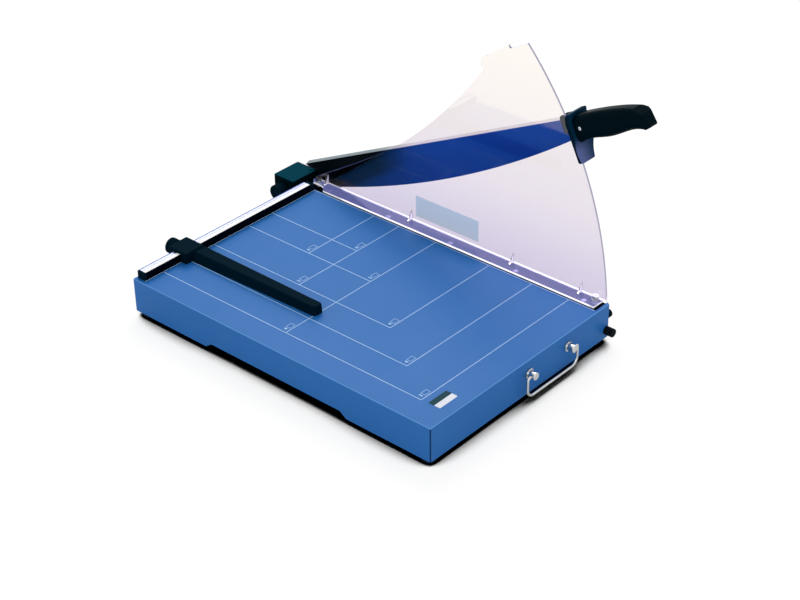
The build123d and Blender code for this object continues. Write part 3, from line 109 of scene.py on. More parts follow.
# ---- settings ---------------------------------------------------------------------------------
def colour(name, about, default):
    """Colour property with the usual limits."""
    return FloatVectorProperty(
        name=name, description=about, default=default, subtype="COLOR", size=3, min=0.0, max=1.0
    )


def length(name, about, default):
    """Length property in metres."""
    return FloatProperty(name=name, description=about, default=default, unit="LENGTH", min=0.0)


def share(name, about, default):
    """Property from nought to one."""
    return FloatProperty(name=name, description=about, default=default, min=0.0, max=1.0)


def power(name, about, default):
    """Power of a lamp in watts."""
    return FloatProperty(name=name, description=about, default=default, min=0.0)


def spot(name, about, default):
    """Place in metres."""
    return FloatVectorProperty(
        name=name, description=about, default=default, subtype="TRANSLATION", size=3
    )


class CutterPaint(bpy.types.PropertyGroup):
    """Colours of the finishes."""

    base: colour("Base", "Powder coat of the folded base", (0.013, 0.120, 0.380))
    # painted highlight: a paler colour along the bends of the base stands in for the light they
    # catch
    bend: colour("Bend", "Thinner coat along the bends of the base", (0.09, 0.26, 0.58))
    seam: colour("Seam", "Shade in the folded corners", (0.002, 0.018, 0.080))
    black_paint: colour("Black paint", "Bed bar and fence", (0.0004, 0.002, 0.005))
    # painted light: the pivot block's paint is lighter on its lit top and darker on its shaded
    # sides
    pivot_paint_lit_top: colour("Pivot paint", "Top of the cast pivot block", (0.0, 0.034, 0.055))
    pivot_side_shade: colour("Pivot side", "Sides of the cast pivot block", (0.0, 0.006, 0.008))
    moulding: colour("Moulding", "Paper stop and knobs", (0.0003, 0.0085, 0.016))
    handle: colour("Handle", "Grip", (0.0003, 0.005, 0.008))
    hand_guard: colour("Hand guard", "Plate in front of the grip", (0.002, 0.026, 0.060))
    # painted shade on the hand guard's thin sides and a painted highlight on its lower front
    # face
    hand_side_shade: colour("Hand guard side", "Thin sides of that plate", (0.001, 0.010, 0.022))
    hand_foot_highlight: colour("Hand guard foot", "Paler lower face of that plate", (0.11, 0.14, 0.34))
    rubber: colour("Rubber", "Feet and bumper", (0.003, 0.005, 0.007))
    steel: colour("Steel", "Bare steel", (0.55, 0.56, 0.60))
    polished: colour("Polished steel", "Screws, washers and end plate", (0.72, 0.73, 0.76))
    chrome: colour("Chrome", "Carrying bail and its posts", (0.62, 0.62, 0.60))
    guide: colour("Guide", "Guide strip on the fence", (0.42, 0.45, 0.66))
    guide_back: colour("Guide back", "Darker back of the guide strip", (0.08, 0.10, 0.30))
    chamfer: colour("Chamfer", "Bare back edge of the blade near its pivot", (0.26, 0.31, 0.34))
    # painted highlight: the bare back edge and bevel are paler away from the pivot
    chamfer_highlight: colour("Pale chamfer", "Brighter back edge and bevel", (0.84, 0.82, 0.86))
    brass: colour("Brass", "Bushes and pads", (0.56, 0.38, 0.15))
    blade: colour("Blade", "Blued side of the blade", (0.009, 0.072, 0.48))
    # painted shade: the blue sides darken towards the pivot and are darkest above the pivot line
    # near it
    blade_deep_shade: colour("Blade deep", "Side of the blade near its pivot", (0.003, 0.036, 0.130))
    blade_root_shade: colour("Blade root", "Darkest paint, by the pivot", (0.001, 0.004, 0.006))
    scale: colour("Scale", "White scale strip", (0.93, 0.93, 0.95))
    print_pale: colour("Print", "Format lines on the bed", (0.52, 0.72, 0.92))
    print_dark: colour("Marks", "Marks on the scale", (0.30, 0.30, 0.38))
    # painted reflection near the guard's top, painted shade and reflection of the blue bed near
    # its foot
    guard_high_sheen: colour("Guard top", "Clear guard near its top", (0.95, 0.90, 0.84))
    guard_middle: colour("Guard middle", "Clear guard half way up", (0.86, 0.79, 0.84))
    guard_low_shade: colour("Guard foot", "Clear guard near its foot", (0.70, 0.64, 0.80))
    guard_edge: colour("Guard edge", "Light that the sheet's edges gather", (0.34, 0.32, 0.44))
    guard_clamp: colour("Guard clamp", "Light that the paper clamp gathers", (0.10, 0.11, 0.30))
    # painted glow along the sheet's foot
    guard_foot_glow: colour("Guard line", "Bright line along the sheet's foot", (0.62, 0.62, 0.66))
    guard_shade: colour("Guard shade", "Light that the sheet lets through", (0.90, 0.88, 0.93))
    film: colour("Film", "Bare label on the guard", (0.70, 0.80, 0.95))
    plate_dark: colour("Plate back", "Back half of the name plate", (0.006, 0.045, 0.060))
    plate_pale: colour("Plate front", "Front half of the name plate", (0.66, 0.69, 0.76))


class CutterPrint(bpy.types.PropertyGroup):
    """Sizes of the printed marks."""

    line: length("Line", "Width of the format lines", 0.6 * MM)
    film: length("Film", "Thickness of the printing", 0.04 * MM)
    inset: length("Inset", "Start of the lines in front of the fence", 2.0 * MM)
    page: length("Page", "Length of the small page signs", 9.5 * MM)
    page_gap: length("Page gap", "Page signs to the line they belong to", 2.5 * MM)
    number: length("Number", "Height and room of the number beside a page sign", 7.0 * MM)
    tick: length("Tick", "Width of a mark on the scale", 0.20 * MM)
    digit: length("Digit", "Height of the scale's numbers", 2.3 * MM)


class CutterStage(bpy.types.PropertyGroup):
    """Camera, light and floor."""

    lens: FloatProperty(
        name="Lens", description="Focal length", default=82.64, min=10.0, unit="CAMERA"
    )
    roll: FloatProperty(
        name="Roll",
        description="Tilt of the camera about its view",
        default=-0.0140,
        unit="ROTATION",
    )
    eye: spot("Eye", "Place of the camera", (-1.3961, -1.2827, 1.2406))
    target: spot("Target", "What the camera looks at", (0.0294, -0.0132, 0.0286))
    sky: share("Sky", "Strength of the light from all round", 0.82)
    key: power("Key", "Lamp behind", 26.0)
    key_size: length("Key size", "Side of the lamp behind", 1.3)
    key_place: spot("Key place", "Where the lamp behind hangs", (1.12, 1.01, 1.85))
    side: power("Side", "Lamp in front", 6.0)
    side_size: length("Side size", "Side of the lamp in front", 1.2)
    side_place: spot("Side place", "Where the lamp in front hangs", (-1.7, -1.3, 1.0))
    floor: colour("Floor", "Pale floor", (0.80, 0.80, 0.80))
    floor_size: length("Floor size", "Reach of the floor on each side", 6.0)
    shown: colour("Shown floor", "What the lamps add to it for the camera", (0.20, 0.20, 0.20))
    lift: share("Lift", "White that the floor adds for the camera", 0.80)
    contact: length("Contact", "Reach of the shade round the cutter's foot", 150 * MM)
    shade_dark: share("Shade dark", "Open share of the sky where the shade is full", 0.45)
    shade_clear: share("Shade clear", "Open share of the sky where the shade ends", 0.66)


# ---- shader groups ----------------------------------------------------------------------------
def operate(tree, operation, first, second):
    """A maths node between two sockets or numbers."""
    node = tree.nodes.new("ShaderNodeMath")
    node.operation = operation
    for socket, value in zip(node.inputs, (first, second)):
        if isinstance(value, bpy.types.NodeSocket):
            tree.links.new(value, socket)
        else:
            socket.default_value = value
    return node.outputs[0]


def new_group(name, inputs, outputs):
    """Empty shader node group with float inputs and typed outputs."""
    group = bpy.data.node_groups.new(name, "ShaderNodeTree")
    for label, value in inputs:
        socket = group.interface.new_socket(label, in_out="INPUT", socket_type="NodeSocketFloat")
        socket.default_value = value
    for label, kind in outputs:
        group.interface.new_socket(label, in_out="OUTPUT", socket_type=kind)
    return group, group.nodes.new("NodeGroupInput"), group.nodes.new("NodeGroupOutput")


def object_noise(group, scale_socket, detail):
    """Noise in the object's own coordinates."""
    place = group.nodes.new("ShaderNodeTexCoord")
    noise = group.nodes.new("ShaderNodeTexNoise")
    noise.inputs["Detail"].default_value = detail
    group.links.new(place.outputs["Object"], noise.inputs["Vector"])
    group.links.new(scale_socket, noise.inputs["Scale"])
    return noise.outputs["Fac"]


def rough_range(group, value, inside, outside):
    """Spreads a value from nought to one between the group's two roughnesses."""
    node = group.nodes.new("ShaderNodeMapRange")
    group.links.new(value, node.inputs["Value"])
    group.links.new(inside.outputs["Rough Low"], node.inputs["To Min"])
    group.links.new(inside.outputs["Rough High"], node.inputs["To Max"])
    group.links.new(node.outputs["Result"], outside.inputs["Roughness"])


def grain_group():
    """Fine grain of a coat or a moulding: height, and a roughness that wanders a little."""
    group, inside, outside = new_group(
        "Fine Grain",
        (("Scale", 900.0), ("Rough Low", 0.3), ("Rough High", 0.4)),
        (("Height", "NodeSocketFloat"), ("Roughness", "NodeSocketFloat")),
    )
    fine = object_noise(group, inside.outputs["Scale"], 2.0)
    slow = operate(group, "MULTIPLY", inside.outputs["Scale"], 0.02)
    wander = object_noise(group, slow, 4.0)
    group.links.new(fine, outside.inputs["Height"])
    rough_range(group, wander, inside, outside)


def brushed_group():
    """Long scratches of brushed or ground metal along one axis."""
    group, inside, outside = new_group(
        "Brushed Metal",
        (("Rough Low", 0.2), ("Rough High", 0.4)),
        (("Height", "NodeSocketFloat"), ("Roughness", "NodeSocketFloat")),
    )
    place = group.nodes.new("ShaderNodeTexCoord")
    stretch = group.nodes.new("ShaderNodeMapping")
    stretch.inputs["Scale"].default_value = (2500.0, 25.0, 2500.0)
    noise = group.nodes.new("ShaderNodeTexNoise")
    noise.inputs["Scale"].default_value = 1.0
    noise.inputs["Detail"].default_value = 3.0
    group.links.new(place.outputs["Object"], stretch.inputs["Vector"])
    group.links.new(stretch.outputs["Vector"], noise.inputs["Vector"])
    group.links.new(noise.outputs["Fac"], outside.inputs["Height"])
    rough_range(group, noise.outputs["Fac"], inside, outside)


def wear_group():
    """Slow blotches that lighten or darken a colour a little, as handling does."""
    group, inside, outside = new_group(
        "Handling Wear",
        (("Scale", 12.0), ("Strength", 0.1)),
        (("Mask", "NodeSocketFloat"),),
    )
    blotch = object_noise(group, inside.outputs["Scale"], 5.0)
    mask = operate(group, "MULTIPLY", blotch, inside.outputs["Strength"])
    group.links.new(mask, outside.inputs["Mask"])


# ---- materials --------------------------------------------------------------------------------
def new_material(name):
    """Material with a bare Principled shader."""
    material = bpy.data.materials.new(name)
    material.use_nodes = True
    return material, material.node_tree, material.node_tree.nodes["Principled BSDF"]


def place_group(tree, name, values):
    """A shared group in a material, with its own values."""
    node = tree.nodes.new("ShaderNodeGroup")
    node.node_tree = bpy.data.node_groups[name]
    for label, value in values.items():
        node.inputs[label].default_value = value
    return node


def bump(tree, shader, height, strength, distance):
    """Height as a bump on the shader."""
    node = tree.nodes.new("ShaderNodeBump")
    node.inputs["Strength"].default_value = strength
    node.inputs["Distance"].default_value = distance
    tree.links.new(height, node.inputs["Height"])
    tree.links.new(node.outputs["Normal"], shader.inputs["Normal"])


def mix_colour(tree, fac, low, high):
    """Mix of two colours by a socket."""
    node = tree.nodes.new("ShaderNodeMix")
    node.data_type = "RGBA"
    for socket, value in ((node.inputs[6], low), (node.inputs[7], high)):
        if isinstance(value, bpy.types.NodeSocket):
            tree.links.new(value, socket)
        else:
            socket.default_value = (*value, 1.0)
    tree.links.new(fac, node.inputs[0])
    return node.outputs[2]


def split_xyz(tree, socket):
    """X, Y and Z of a vector."""
    node = tree.nodes.new("ShaderNodeSeparateXYZ")
    tree.links.new(socket, node.inputs["Vector"])
    return node.outputs


def normal_xyz(tree):
    """X, Y and Z of the surface's true normal."""
    surface = tree.nodes.new("ShaderNodeNewGeometry")
    return split_xyz(tree, surface.outputs["True Normal"])


def object_xyz(tree):
    """X, Y and Z of the place on the object."""
    place = tree.nodes.new("ShaderNodeTexCoord")
    return split_xyz(tree, place.outputs["Object"])


def outside_limit(tree, value, limit):
    """One where the size of a value is over a limit, else nought."""
    return operate(tree, "GREATER_THAN", operate(tree, "ABSOLUTE", value, 0.0), limit)


def inside_limit(tree, value, limit):
    """One where the size of a value is under a limit, else nought."""
    return operate(tree, "SUBTRACT", 1.0, outside_limit(tree, value, limit))


def rise(tree, value, start, end, curve="SMOOTHSTEP"):
    """Nought to one while a value goes from its start to its end."""
    node = tree.nodes.new("ShaderNodeMapRange")
    node.interpolation_type = curve
    node.inputs["From Min"].default_value = start
    node.inputs["From Max"].default_value = end
    tree.links.new(value, node.inputs["Value"])
    return node.outputs["Result"]


def worn(tree, rgb, scale=12.0):
    """A colour that wanders a little towards a paler one."""
    wear = place_group(tree, "Handling Wear", {"Scale": scale, "Strength": WEAR})
    paler = tuple(min(1.0, value * 1.35 + 0.001) for value in rgb)
    return mix_colour(tree, wear.outputs["Mask"], rgb, paler)


def grained(tree, shader, rough, grain, relief, depth, level):
    """Fine grain of a coat on a shader."""
    grains = place_group(
        tree, "Fine Grain", {"Scale": grain, "Rough Low": rough[0], "Rough High": rough[1]}
    )
    tree.links.new(grains.outputs["Roughness"], shader.inputs["Roughness"])
    shader.inputs["Specular IOR Level"].default_value = level
    bump(tree, shader, grains.outputs["Height"], relief, depth)


def brushed(tree, shader, rough, relief):
    """Long scratches of metal on a shader."""
    lines = place_group(tree, "Brushed Metal", {"Rough Low": rough[0], "Rough High": rough[1]})
    tree.links.new(lines.outputs["Roughness"], shader.inputs["Roughness"])
    bump(tree, shader, lines.outputs["Height"], relief, 0.03 * MM)


def coated(name, rgb, rough=(0.3, 0.4), grain=900.0, relief=0.1, level=0.5):
    """Painted or moulded finish with a fine grain."""
    material, tree, shader = new_material(name)
    tree.links.new(worn(tree, rgb), shader.inputs["Base Color"])
    grained(tree, shader, rough, grain, relief, 0.05 * MM, level)
    return material


def bare_metal(name, rgb, rough=(0.22, 0.36), relief=0.06):
    """Brushed or ground bare metal."""
    material, tree, shader = new_material(name)
    tree.links.new(worn(tree, rgb, scale=30.0), shader.inputs["Base Color"])
    shader.inputs["Metallic"].default_value = 1.0
    brushed(tree, shader, rough, relief)
    return material


def finish(nodes, material):
    """Gives CAD nodes one finish."""
    for name in nodes:
        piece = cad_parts[name]
        for slot in piece.material_slots:
            slot.material = material


# ---- mesh helpers -----------------------------------------------------------------------------
def add_block(bm, low, high):
    """A box between two corners."""
    low, high = Vector(low), Vector(high)
    size = high - low
    place = Matrix.Translation((low + high) / 2) @ Matrix.Diagonal((*size, 1.0))
    bmesh.ops.create_cube(bm, size=1.0, matrix=place)


def new_piece(name, bm, body, material):
    """A finished piece at the origin that rides on a body."""
    bmesh.ops.remove_doubles(bm, verts=bm.verts, dist=0.001 * MM)
    bmesh.ops.recalc_face_normals(bm, faces=bm.faces)
    mesh = bpy.data.meshes.new(name)
    bm.to_mesh(mesh)
    bm.free()
    piece = bpy.data.objects.new(name, mesh)
    bpy.context.scene.collection.objects.link(piece)
    mesh.materials.append(material)
    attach(piece, body)
    return piece


def add_text(bm, text, size, place, thickness):
    """Flat lettering, made a mesh before it is placed."""
    curve = bpy.data.curves.new(text, "FONT")
    curve.body = text
    curve.size = size
    curve.align_x = "CENTER"
    curve.align_y = "CENTER"
    curve.extrude = thickness / 2
    curve.resolution_u = 2
    letters = bpy.data.objects.new(text, curve)
    bpy.context.scene.collection.objects.link(letters)
    bpy.context.view_layer.update()
    mesh = bpy.data.meshes.new_from_object(letters)
    mesh.transform(place)
    bm.from_mesh(mesh)
    bpy.data.objects.remove(letters)
    bpy.data.curves.remove(curve)
    bpy.data.meshes.remove(mesh)


# ---- operators: finishes ----------------------------------------------------------------------
class CUTTER_OT_groups(bpy.types.Operator):
    """Build the shader groups that the finishes share"""

    bl_idname = "cutter.groups"
    bl_label = "Shared Effects"

    def execute(self, context):
        grain_group()
        brushed_group()
        wear_group()
        return {"FINISHED"}


class CUTTER_OT_painted_steel(bpy.types.Operator):
    """Paint the base, bed bar, fence and pivot block"""

    bl_idname = "cutter.painted_steel"
    bl_label = "Painted Steel"

    def execute(self, context):
        paint = context.scene.cutter_paint
        finish(["base_housing"], self.powder_coat(paint))
        black = coated(
            "black_paint", paint.black_paint, rough=(0.32, 0.45), grain=1800.0, level=0.004
        )
        finish(["bed_bar", "fence_rail"], black)
        cast = coated(
            "pivot_paint_lit_top",
            paint.pivot_paint_lit_top,
            rough=(0.30, 0.42),
            grain=500.0,
            relief=0.2,
            level=0.004,
        )
        tree = cast.node_tree
        shader = tree.nodes["Principled BSDF"]
        # painted light: faces that look up get the lit top colour, the others the painted shade
        # of the sides
        flat = outside_limit(tree, normal_xyz(tree)["Z"], FLAT)
        coat = shader.inputs["Base Color"].links[0].from_socket
        split_colour = mix_colour(tree, flat, paint.pivot_side_shade, coat)
        tree.links.new(split_colour, shader.inputs["Base Color"])
        finish(["pivot_block", "block_cap_screw"], cast)
        return {"FINISHED"}

    def powder_coat(self, paint):
        """Blue powder coat, with a painted highlight along the bends and painted shade in the
        folded corners.
        """
        material = coated(
            "base_powder_coat",
            paint.base,
            rough=(0.40, 0.50),
            grain=1400.0,
            relief=0.12,
            level=0.15,
        )
        tree = material.node_tree
        shader = tree.nodes["Principled BSDF"]
        normal = normal_xyz(tree)
        coat = shader.inputs["Base Color"].links[0].from_socket
        # painted highlight on the bends, painted shade in the upright folded corners
        upright = inside_limit(tree, normal["Z"], 0.2)
        with_painted_light = mix_colour(tree, upright, paint.bend, paint.seam)
        for axis, limit in (("X", 0.9), ("Y", 0.9), ("Z", 0.97)):
            flat = outside_limit(tree, normal[axis], limit)
            with_painted_light = mix_colour(tree, flat, with_painted_light, coat)
        tree.links.new(with_painted_light, shader.inputs["Base Color"])
        return material


class CUTTER_OT_bright_metal(bpy.types.Operator):
    """Give the knife, screws, strips, plates and bail their bare metal"""

    bl_idname = "cutter.bright_metal"
    bl_label = "Bright Metal"

    def execute(self, context):
        paint = context.scene.cutter_paint
        steel = bare_metal("bare_steel", paint.steel)
        finish(
            [
                "stiffeners",
                "foot_screws",
                "foot_nuts",
                "bed_nuts",
                "fence_screws",
                "stop_stud",
                "block_screws",
                "blade_washer",
                "disc_springs",
                "pivot_nut",
                "brake_stud",
                "guide_springs",
                "post_nuts",
                "bumper_screw",
                "catch_tab",
                "bed_knife",
            ],
            steel,
        )
        polished = bare_metal("polished_steel", paint.polished, rough=(0.10, 0.20), relief=0.03)
        finish(
            [
                "bed_screws",
                "knife_screws",
                "pivot_bolt",
                "grip_screw",
                "guide_screws",
                "guide_washers",
                "catch_screw",
                "end_plate",
            ],
            polished,
        )
        chrome = bare_metal("satin_chrome", paint.chrome, rough=(0.12, 0.20), relief=0.02)
        finish(["bail_posts", "carry_bail"], chrome)
        finish(["guide_strip"], self.guide_steel(paint))
        finish(["stop_pad", "pivot_bush", "thrust_washer"], bare_metal("brass", paint.brass))
        return {"FINISHED"}

    def guide_steel(self, paint):
        """Pale bare steel with a darker painted back edge."""
        low, high = (Vector(corner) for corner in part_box("guide_strip"))
        material, tree, shader = new_material("guide_steel")
        start = low.y + (high.y - low.y) * GUIDE_SPLIT
        back = operate(tree, "GREATER_THAN", object_xyz(tree)["Y"], start)
        split_colour = mix_colour(tree, back, paint.guide, paint.guide_back)
        tree.links.new(split_colour, shader.inputs["Base Color"])
        tree.links.new(operate(tree, "SUBTRACT", 1.0, back), shader.inputs["Metallic"])
        shader.inputs["Specular IOR Level"].default_value = 0.02
        brushed(tree, shader, (0.25, 0.40), 0.05)
        return material


class CUTTER_OT_mouldings(bpy.types.Operator):
    """Give the stop, knobs, fence ends, feet and bumper their plastic and rubber"""

    bl_idname = "cutter.mouldings"
    bl_label = "Mouldings and Rubber"

    def execute(self, context):
        paint = context.scene.cutter_paint
        moulded = coated(
            "moulded_black", paint.moulding, rough=(0.30, 0.42), grain=1200.0, level=0.004
        )
        finish(
            [
                "stop_head",
                "stop_arm",
                "stop_knob",
                "brake_knob",
                "fence_cap",
                "fence_end_block",
                "catch_knob",
            ],
            moulded,
        )
        rubber = coated(
            "rubber", paint.rubber, rough=(0.6, 0.75), grain=700.0, relief=0.2, level=0.05
        )
        finish(["rubber_feet", "handle_bumper"], rubber)
        handle = coated(
            "handle_gloss",
            paint.handle,
            rough=(0.20, 0.28),
            grain=1200.0,
            relief=0.04,
            level=0.01,
        )
        finish(["grip"], handle)
        finish(["hand_guard"], self.hand_plate(paint))
        white = coated("scale_white", paint.scale, rough=(0.35, 0.45), relief=0.02, level=0.03)
        finish(["scale_strip"], white)
        return {"FINISHED"}

    def hand_plate(self, paint):
        """Dark gloss with painted shade on its thin sides and a painted highlight on its lower
        front face, paler towards its left side.
        """
        low, high = (Vector(corner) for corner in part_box("hand_guard"))
        tall = high.z - low.z
        material, tree, shader = new_material("hand_guard_gloss")
        front = inside_limit(tree, normal_xyz(tree)["X"], 0.6)
        place = object_xyz(tree)
        pale = front
        for axis, start, end in (
            ("Z", low.z + 0.55 * tall, low.z + 0.20 * tall),
            ("X", high.x, low.x),
        ):
            pale = operate(tree, "MULTIPLY", pale, rise(tree, place[axis], start, end))
        gloss = mix_colour(tree, front, paint.hand_side_shade, paint.hand_guard)
        gloss = mix_colour(tree, pale, gloss, paint.hand_foot_highlight)
        tree.links.new(gloss, shader.inputs["Base Color"])
        grained(tree, shader, (0.20, 0.28), 1200.0, 0.04, 0.03 * MM, 0.01)
        return material


class CUTTER_OT_clear_guard(bpy.types.Operator):
    """Make the guard clear plastic and give it its bare label"""

    bl_idname = "cutter.clear_guard"
    bl_label = "Clear Guard"

    def execute(self, context):
        paint = context.scene.cutter_paint
        material, tree, shader = new_material("clear_plastic")
        height = object_xyz(tree)["Z"]
        middle = GUARD_LOW.z + TINT_MIDDLE * (GUARD_HIGH.z - GUARD_LOW.z)
        # painted reflection and shade in the tint: brighter and warmer near the top, darker and
        # bluer near the foot
        tint_with_light = paint.guard_low_shade
        for start, end, above in (
            (GUARD_LOW.z, middle, paint.guard_middle),
            (middle, GUARD_HIGH.z, paint.guard_high_sheen),
        ):
            tint_with_light = mix_colour(tree, rise(tree, height, start, end, "LINEAR"), tint_with_light, above)
        tree.links.new(tint_with_light, shader.inputs["Base Color"])
        smudge = place_group(
            tree, "Fine Grain", {"Scale": 700.0, "Rough Low": 0.0, "Rough High": 0.05}
        )
        tree.links.new(smudge.outputs["Roughness"], shader.inputs["Roughness"])
        shader.inputs["Specular IOR Level"].default_value = 0.30
        shader.inputs["Transmission Weight"].default_value = 1.0
        shader.inputs["IOR"].default_value = 1.49
        normal = normal_xyz(tree)
        # painted glow for camera rays only: the sheet's edges, the line along its foot and the
        # paper clamp shine with no lamp on them
        edge = inside_limit(tree, normal["X"], FLAT)
        flat = outside_limit(tree, normal["Z"], FLAT)
        foot = operate(tree, "LESS_THAN", height, GUARD_LOW.z + FOOT_GLOW_HEIGHT)
        glow = mix_colour(tree, edge, BLACK, paint.guard_edge)
        glow = mix_colour(tree, foot, glow, paint.guard_foot_glow)
        glow = mix_colour(tree, flat, glow, paint.guard_clamp)
        rays = tree.nodes.new("ShaderNodeLightPath")
        glow = mix_colour(tree, rays.outputs["Is Camera Ray"], BLACK, glow)
        tree.links.new(glow, shader.inputs["Emission Color"])
        shader.inputs["Emission Strength"].default_value = 1.0
        let_through = tree.nodes.new("ShaderNodeBsdfTransparent")
        let_through.inputs["Color"].default_value = (*paint.guard_shade, 1.0)
        choose = tree.nodes.new("ShaderNodeMixShader")
        output = tree.nodes["Material Output"]
        tree.links.new(rays.outputs["Is Shadow Ray"], choose.inputs[0])
        tree.links.new(shader.outputs["BSDF"], choose.inputs[1])
        tree.links.new(let_through.outputs["BSDF"], choose.inputs[2])
        tree.links.new(choose.outputs["Shader"], output.inputs["Surface"])
        finish(["guard_sheet"], material)
        film = coated("label_film", paint.film, rough=(0.18, 0.26), relief=0.02, level=0.2)
        finish(["guard_film"], film)
        return {"FINISHED"}


class CUTTER_OT_blade_finish(bpy.types.Operator):
    """Blue the blade's sides with painted shade that darkens them towards the pivot, and leave
    its back edge and bevel bare with a painted highlight away from the pivot
    """

    bl_idname = "cutter.blade_finish"
    bl_label = "Blade Finish"

    def execute(self, context):
        paint = context.scene.cutter_paint
        material, tree, shader = new_material("blade_blued")
        bare = inside_limit(tree, normal_xyz(tree)["X"], 0.99)
        place = tree.nodes.new("ShaderNodeTexCoord").outputs["Object"]
        height = tree.nodes.new("ShaderNodeVectorMath")
        height.operation = "DOT_PRODUCT"
        height.inputs[1].default_value = BLADE_ACROSS
        tree.links.new(place, height.inputs[0])
        pivot_low, pivot_high = (Vector(corner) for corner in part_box("pivot_bolt"))
        middle = BLADE_ACROSS.dot((pivot_low + pivot_high) / 2)
        along = split_xyz(tree, place)["Y"]
        # painted shade near the pivot on the blue sides, and the bare edge there without its
        # painted highlight
        deep, near = (
            rise(tree, along, BLADE_BACK - start, BLADE_BACK - end)
            for start, end in (DEEP_SHADE_ENDS, ROOT_SHADE_ENDS)
        )
        above = rise(tree, height.outputs["Value"], middle - ROOT_SHADE_DEPTH, middle)
        root_shade = operate(tree, "MULTIPLY", above, near)
        with_painted_light = mix_colour(tree, deep, paint.blade, paint.blade_deep_shade)
        with_painted_light = mix_colour(tree, root_shade, with_painted_light, paint.blade_root_shade)
        steel = mix_colour(tree, root_shade, paint.chamfer_highlight, paint.chamfer)
        tree.links.new(mix_colour(tree, bare, with_painted_light, steel), shader.inputs["Base Color"])
        tree.links.new(bare, shader.inputs["Metallic"])
        shader.inputs["Specular IOR Level"].default_value = 0.02
        brushed(tree, shader, (0.24, 0.38), 0.04)
        finish(["blade"], material)
        return {"FINISHED"}


class CUTTER_OT_name_plate(bpy.types.Operator):
    """Give the bare name plate its two plain halves"""

    bl_idname = "cutter.name_plate"
    bl_label = "Bare Name Plate"

    def execute(self, context):
        paint = context.scene.cutter_paint
        low, high = (Vector(corner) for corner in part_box("name_plate"))
        material, tree, shader = new_material("plate_two_tone")
        back = operate(tree, "GREATER_THAN", object_xyz(tree)["Y"], (low.y + high.y) / 2)
        split_colour = mix_colour(tree, back, paint.plate_pale, paint.plate_dark)
        tree.links.new(split_colour, shader.inputs["Base Color"])
        grained(tree, shader, (0.3, 0.4), 1500.0, 0.03, 0.03 * MM, 0.03)
        finish(["name_plate"], material)
        return {"FINISHED"}


# ---- operators: printed marks -----------------------------------------------------------------
class CUTTER_OT_format_lines(bpy.types.Operator):
    """Print the paper formats on the bed"""

    bl_idname = "cutter.format_lines"
    bl_label = "Format Lines"

    def execute(self, context):
        marks = context.scene.cutter_print
        paint = context.scene.cutter_paint
        ink = coated("print_pale", paint.print_pale, rough=(0.35, 0.45), relief=0.02, level=0.03)
        back = FENCE_Y - marks.inset
        right = BAR_X - marks.line
        top = TOP_Z + marks.film
        bm = bmesh.new()
        half = marks.line / 2
        for reach, width in ACROSS.items():
            y = back - reach * MM
            x = CUT_X - width * MM
            add_block(bm, (x - half, y - half, TOP_Z), (right, y + half, top))
        for reach, depth in ALONG.items():
            x = CUT_X - reach * MM
            y = back - depth * MM
            add_block(bm, (x - half, y - half, TOP_Z), (x + half, FENCE_Y, top))
        front = BASE_LOW.y + LINE_MARGIN
        left = BASE_LOW.x + LINE_MARGIN
        add_block(bm, (right - marks.line, front, TOP_Z), (right, back, top))
        add_block(bm, (left, FENCE_Y - marks.line, TOP_Z), (BAR_X, FENCE_Y, top))
        new_piece("format_lines", bm, "base", ink)
        return {"FINISHED"}


class CUTTER_OT_page_signs(bpy.types.Operator):
    """Print a small page and a plain number in the corner of each format"""

    bl_idname = "cutter.page_signs"
    bl_label = "Page Signs"

    def execute(self, context):
        marks = context.scene.cutter_print
        ink = bpy.data.materials["print_pale"]
        back = FENCE_Y - marks.inset
        top = TOP_Z + marks.film
        line = marks.line * PAGE_LINE
        wide, deep = marks.page, marks.page * PAGE_SHAPE
        bm = bmesh.new()
        for reach, width, number in SIGNS:
            x0 = CUT_X - width * MM + marks.page_gap + marks.number
            y0 = back - reach * MM + marks.page_gap
            for low, high in (
                ((x0, y0), (x0 + wide, y0 + line)),
                ((x0, y0 + deep - line), (x0 + wide, y0 + deep)),
                ((x0, y0), (x0 + line, y0 + deep)),
                ((x0 + wide - line, y0), (x0 + wide, y0 + deep)),
            ):
                add_block(bm, (*low, TOP_Z), (*high, top))
            middle = (x0 - marks.number / 2, y0 + deep / 2, TOP_Z + marks.film / 2)
            add_text(bm, number, marks.number, Matrix.Translation(middle), marks.film)
        new_piece("page_signs", bm, "base", ink)
        return {"FINISHED"}


class CUTTER_OT_scale_marks(bpy.types.Operator):
    """Print the millimetre scale on the fence, counted from the cutting line"""

    bl_idname = "cutter.scale_marks"
    bl_label = "Scale Marks"

    def execute(self, context):
        marks = context.scene.cutter_print
        paint = context.scene.cutter_paint
        ink = coated("print_dark", paint.print_dark, rough=(0.4, 0.5), relief=0.02, level=0.03)
        top = SCALE_HIGH.z
        bm = bmesh.new()
        first = math.ceil((CUT_X - SCALE_HIGH.x) / MM)
        last = math.floor((CUT_X - SCALE_LOW.x) / MM)
        for mark in range(first, last + 1):
            x = CUT_X - mark * MM
            reach = MARK_REACH.get(mark % 10, SHORT_REACH)
            low = (x - marks.tick / 2, SCALE_LOW.y + MARK_START, top)
            high = (x + marks.tick / 2, SCALE_LOW.y + MARK_START + reach, top + marks.film)
            add_block(bm, low, high)
        for mark in range(first, last + 1):
            if mark % 10 == 0:
                x = CUT_X - mark * MM
                middle = (x, SCALE_HIGH.y - DIGIT_INSET, top + marks.film / 2)
                place = Matrix.Translation(middle)
                add_text(bm, str(mark // 10), marks.digit, place, marks.film)
        new_piece("scale_marks", bm, "base", ink)
        return {"FINISHED"}


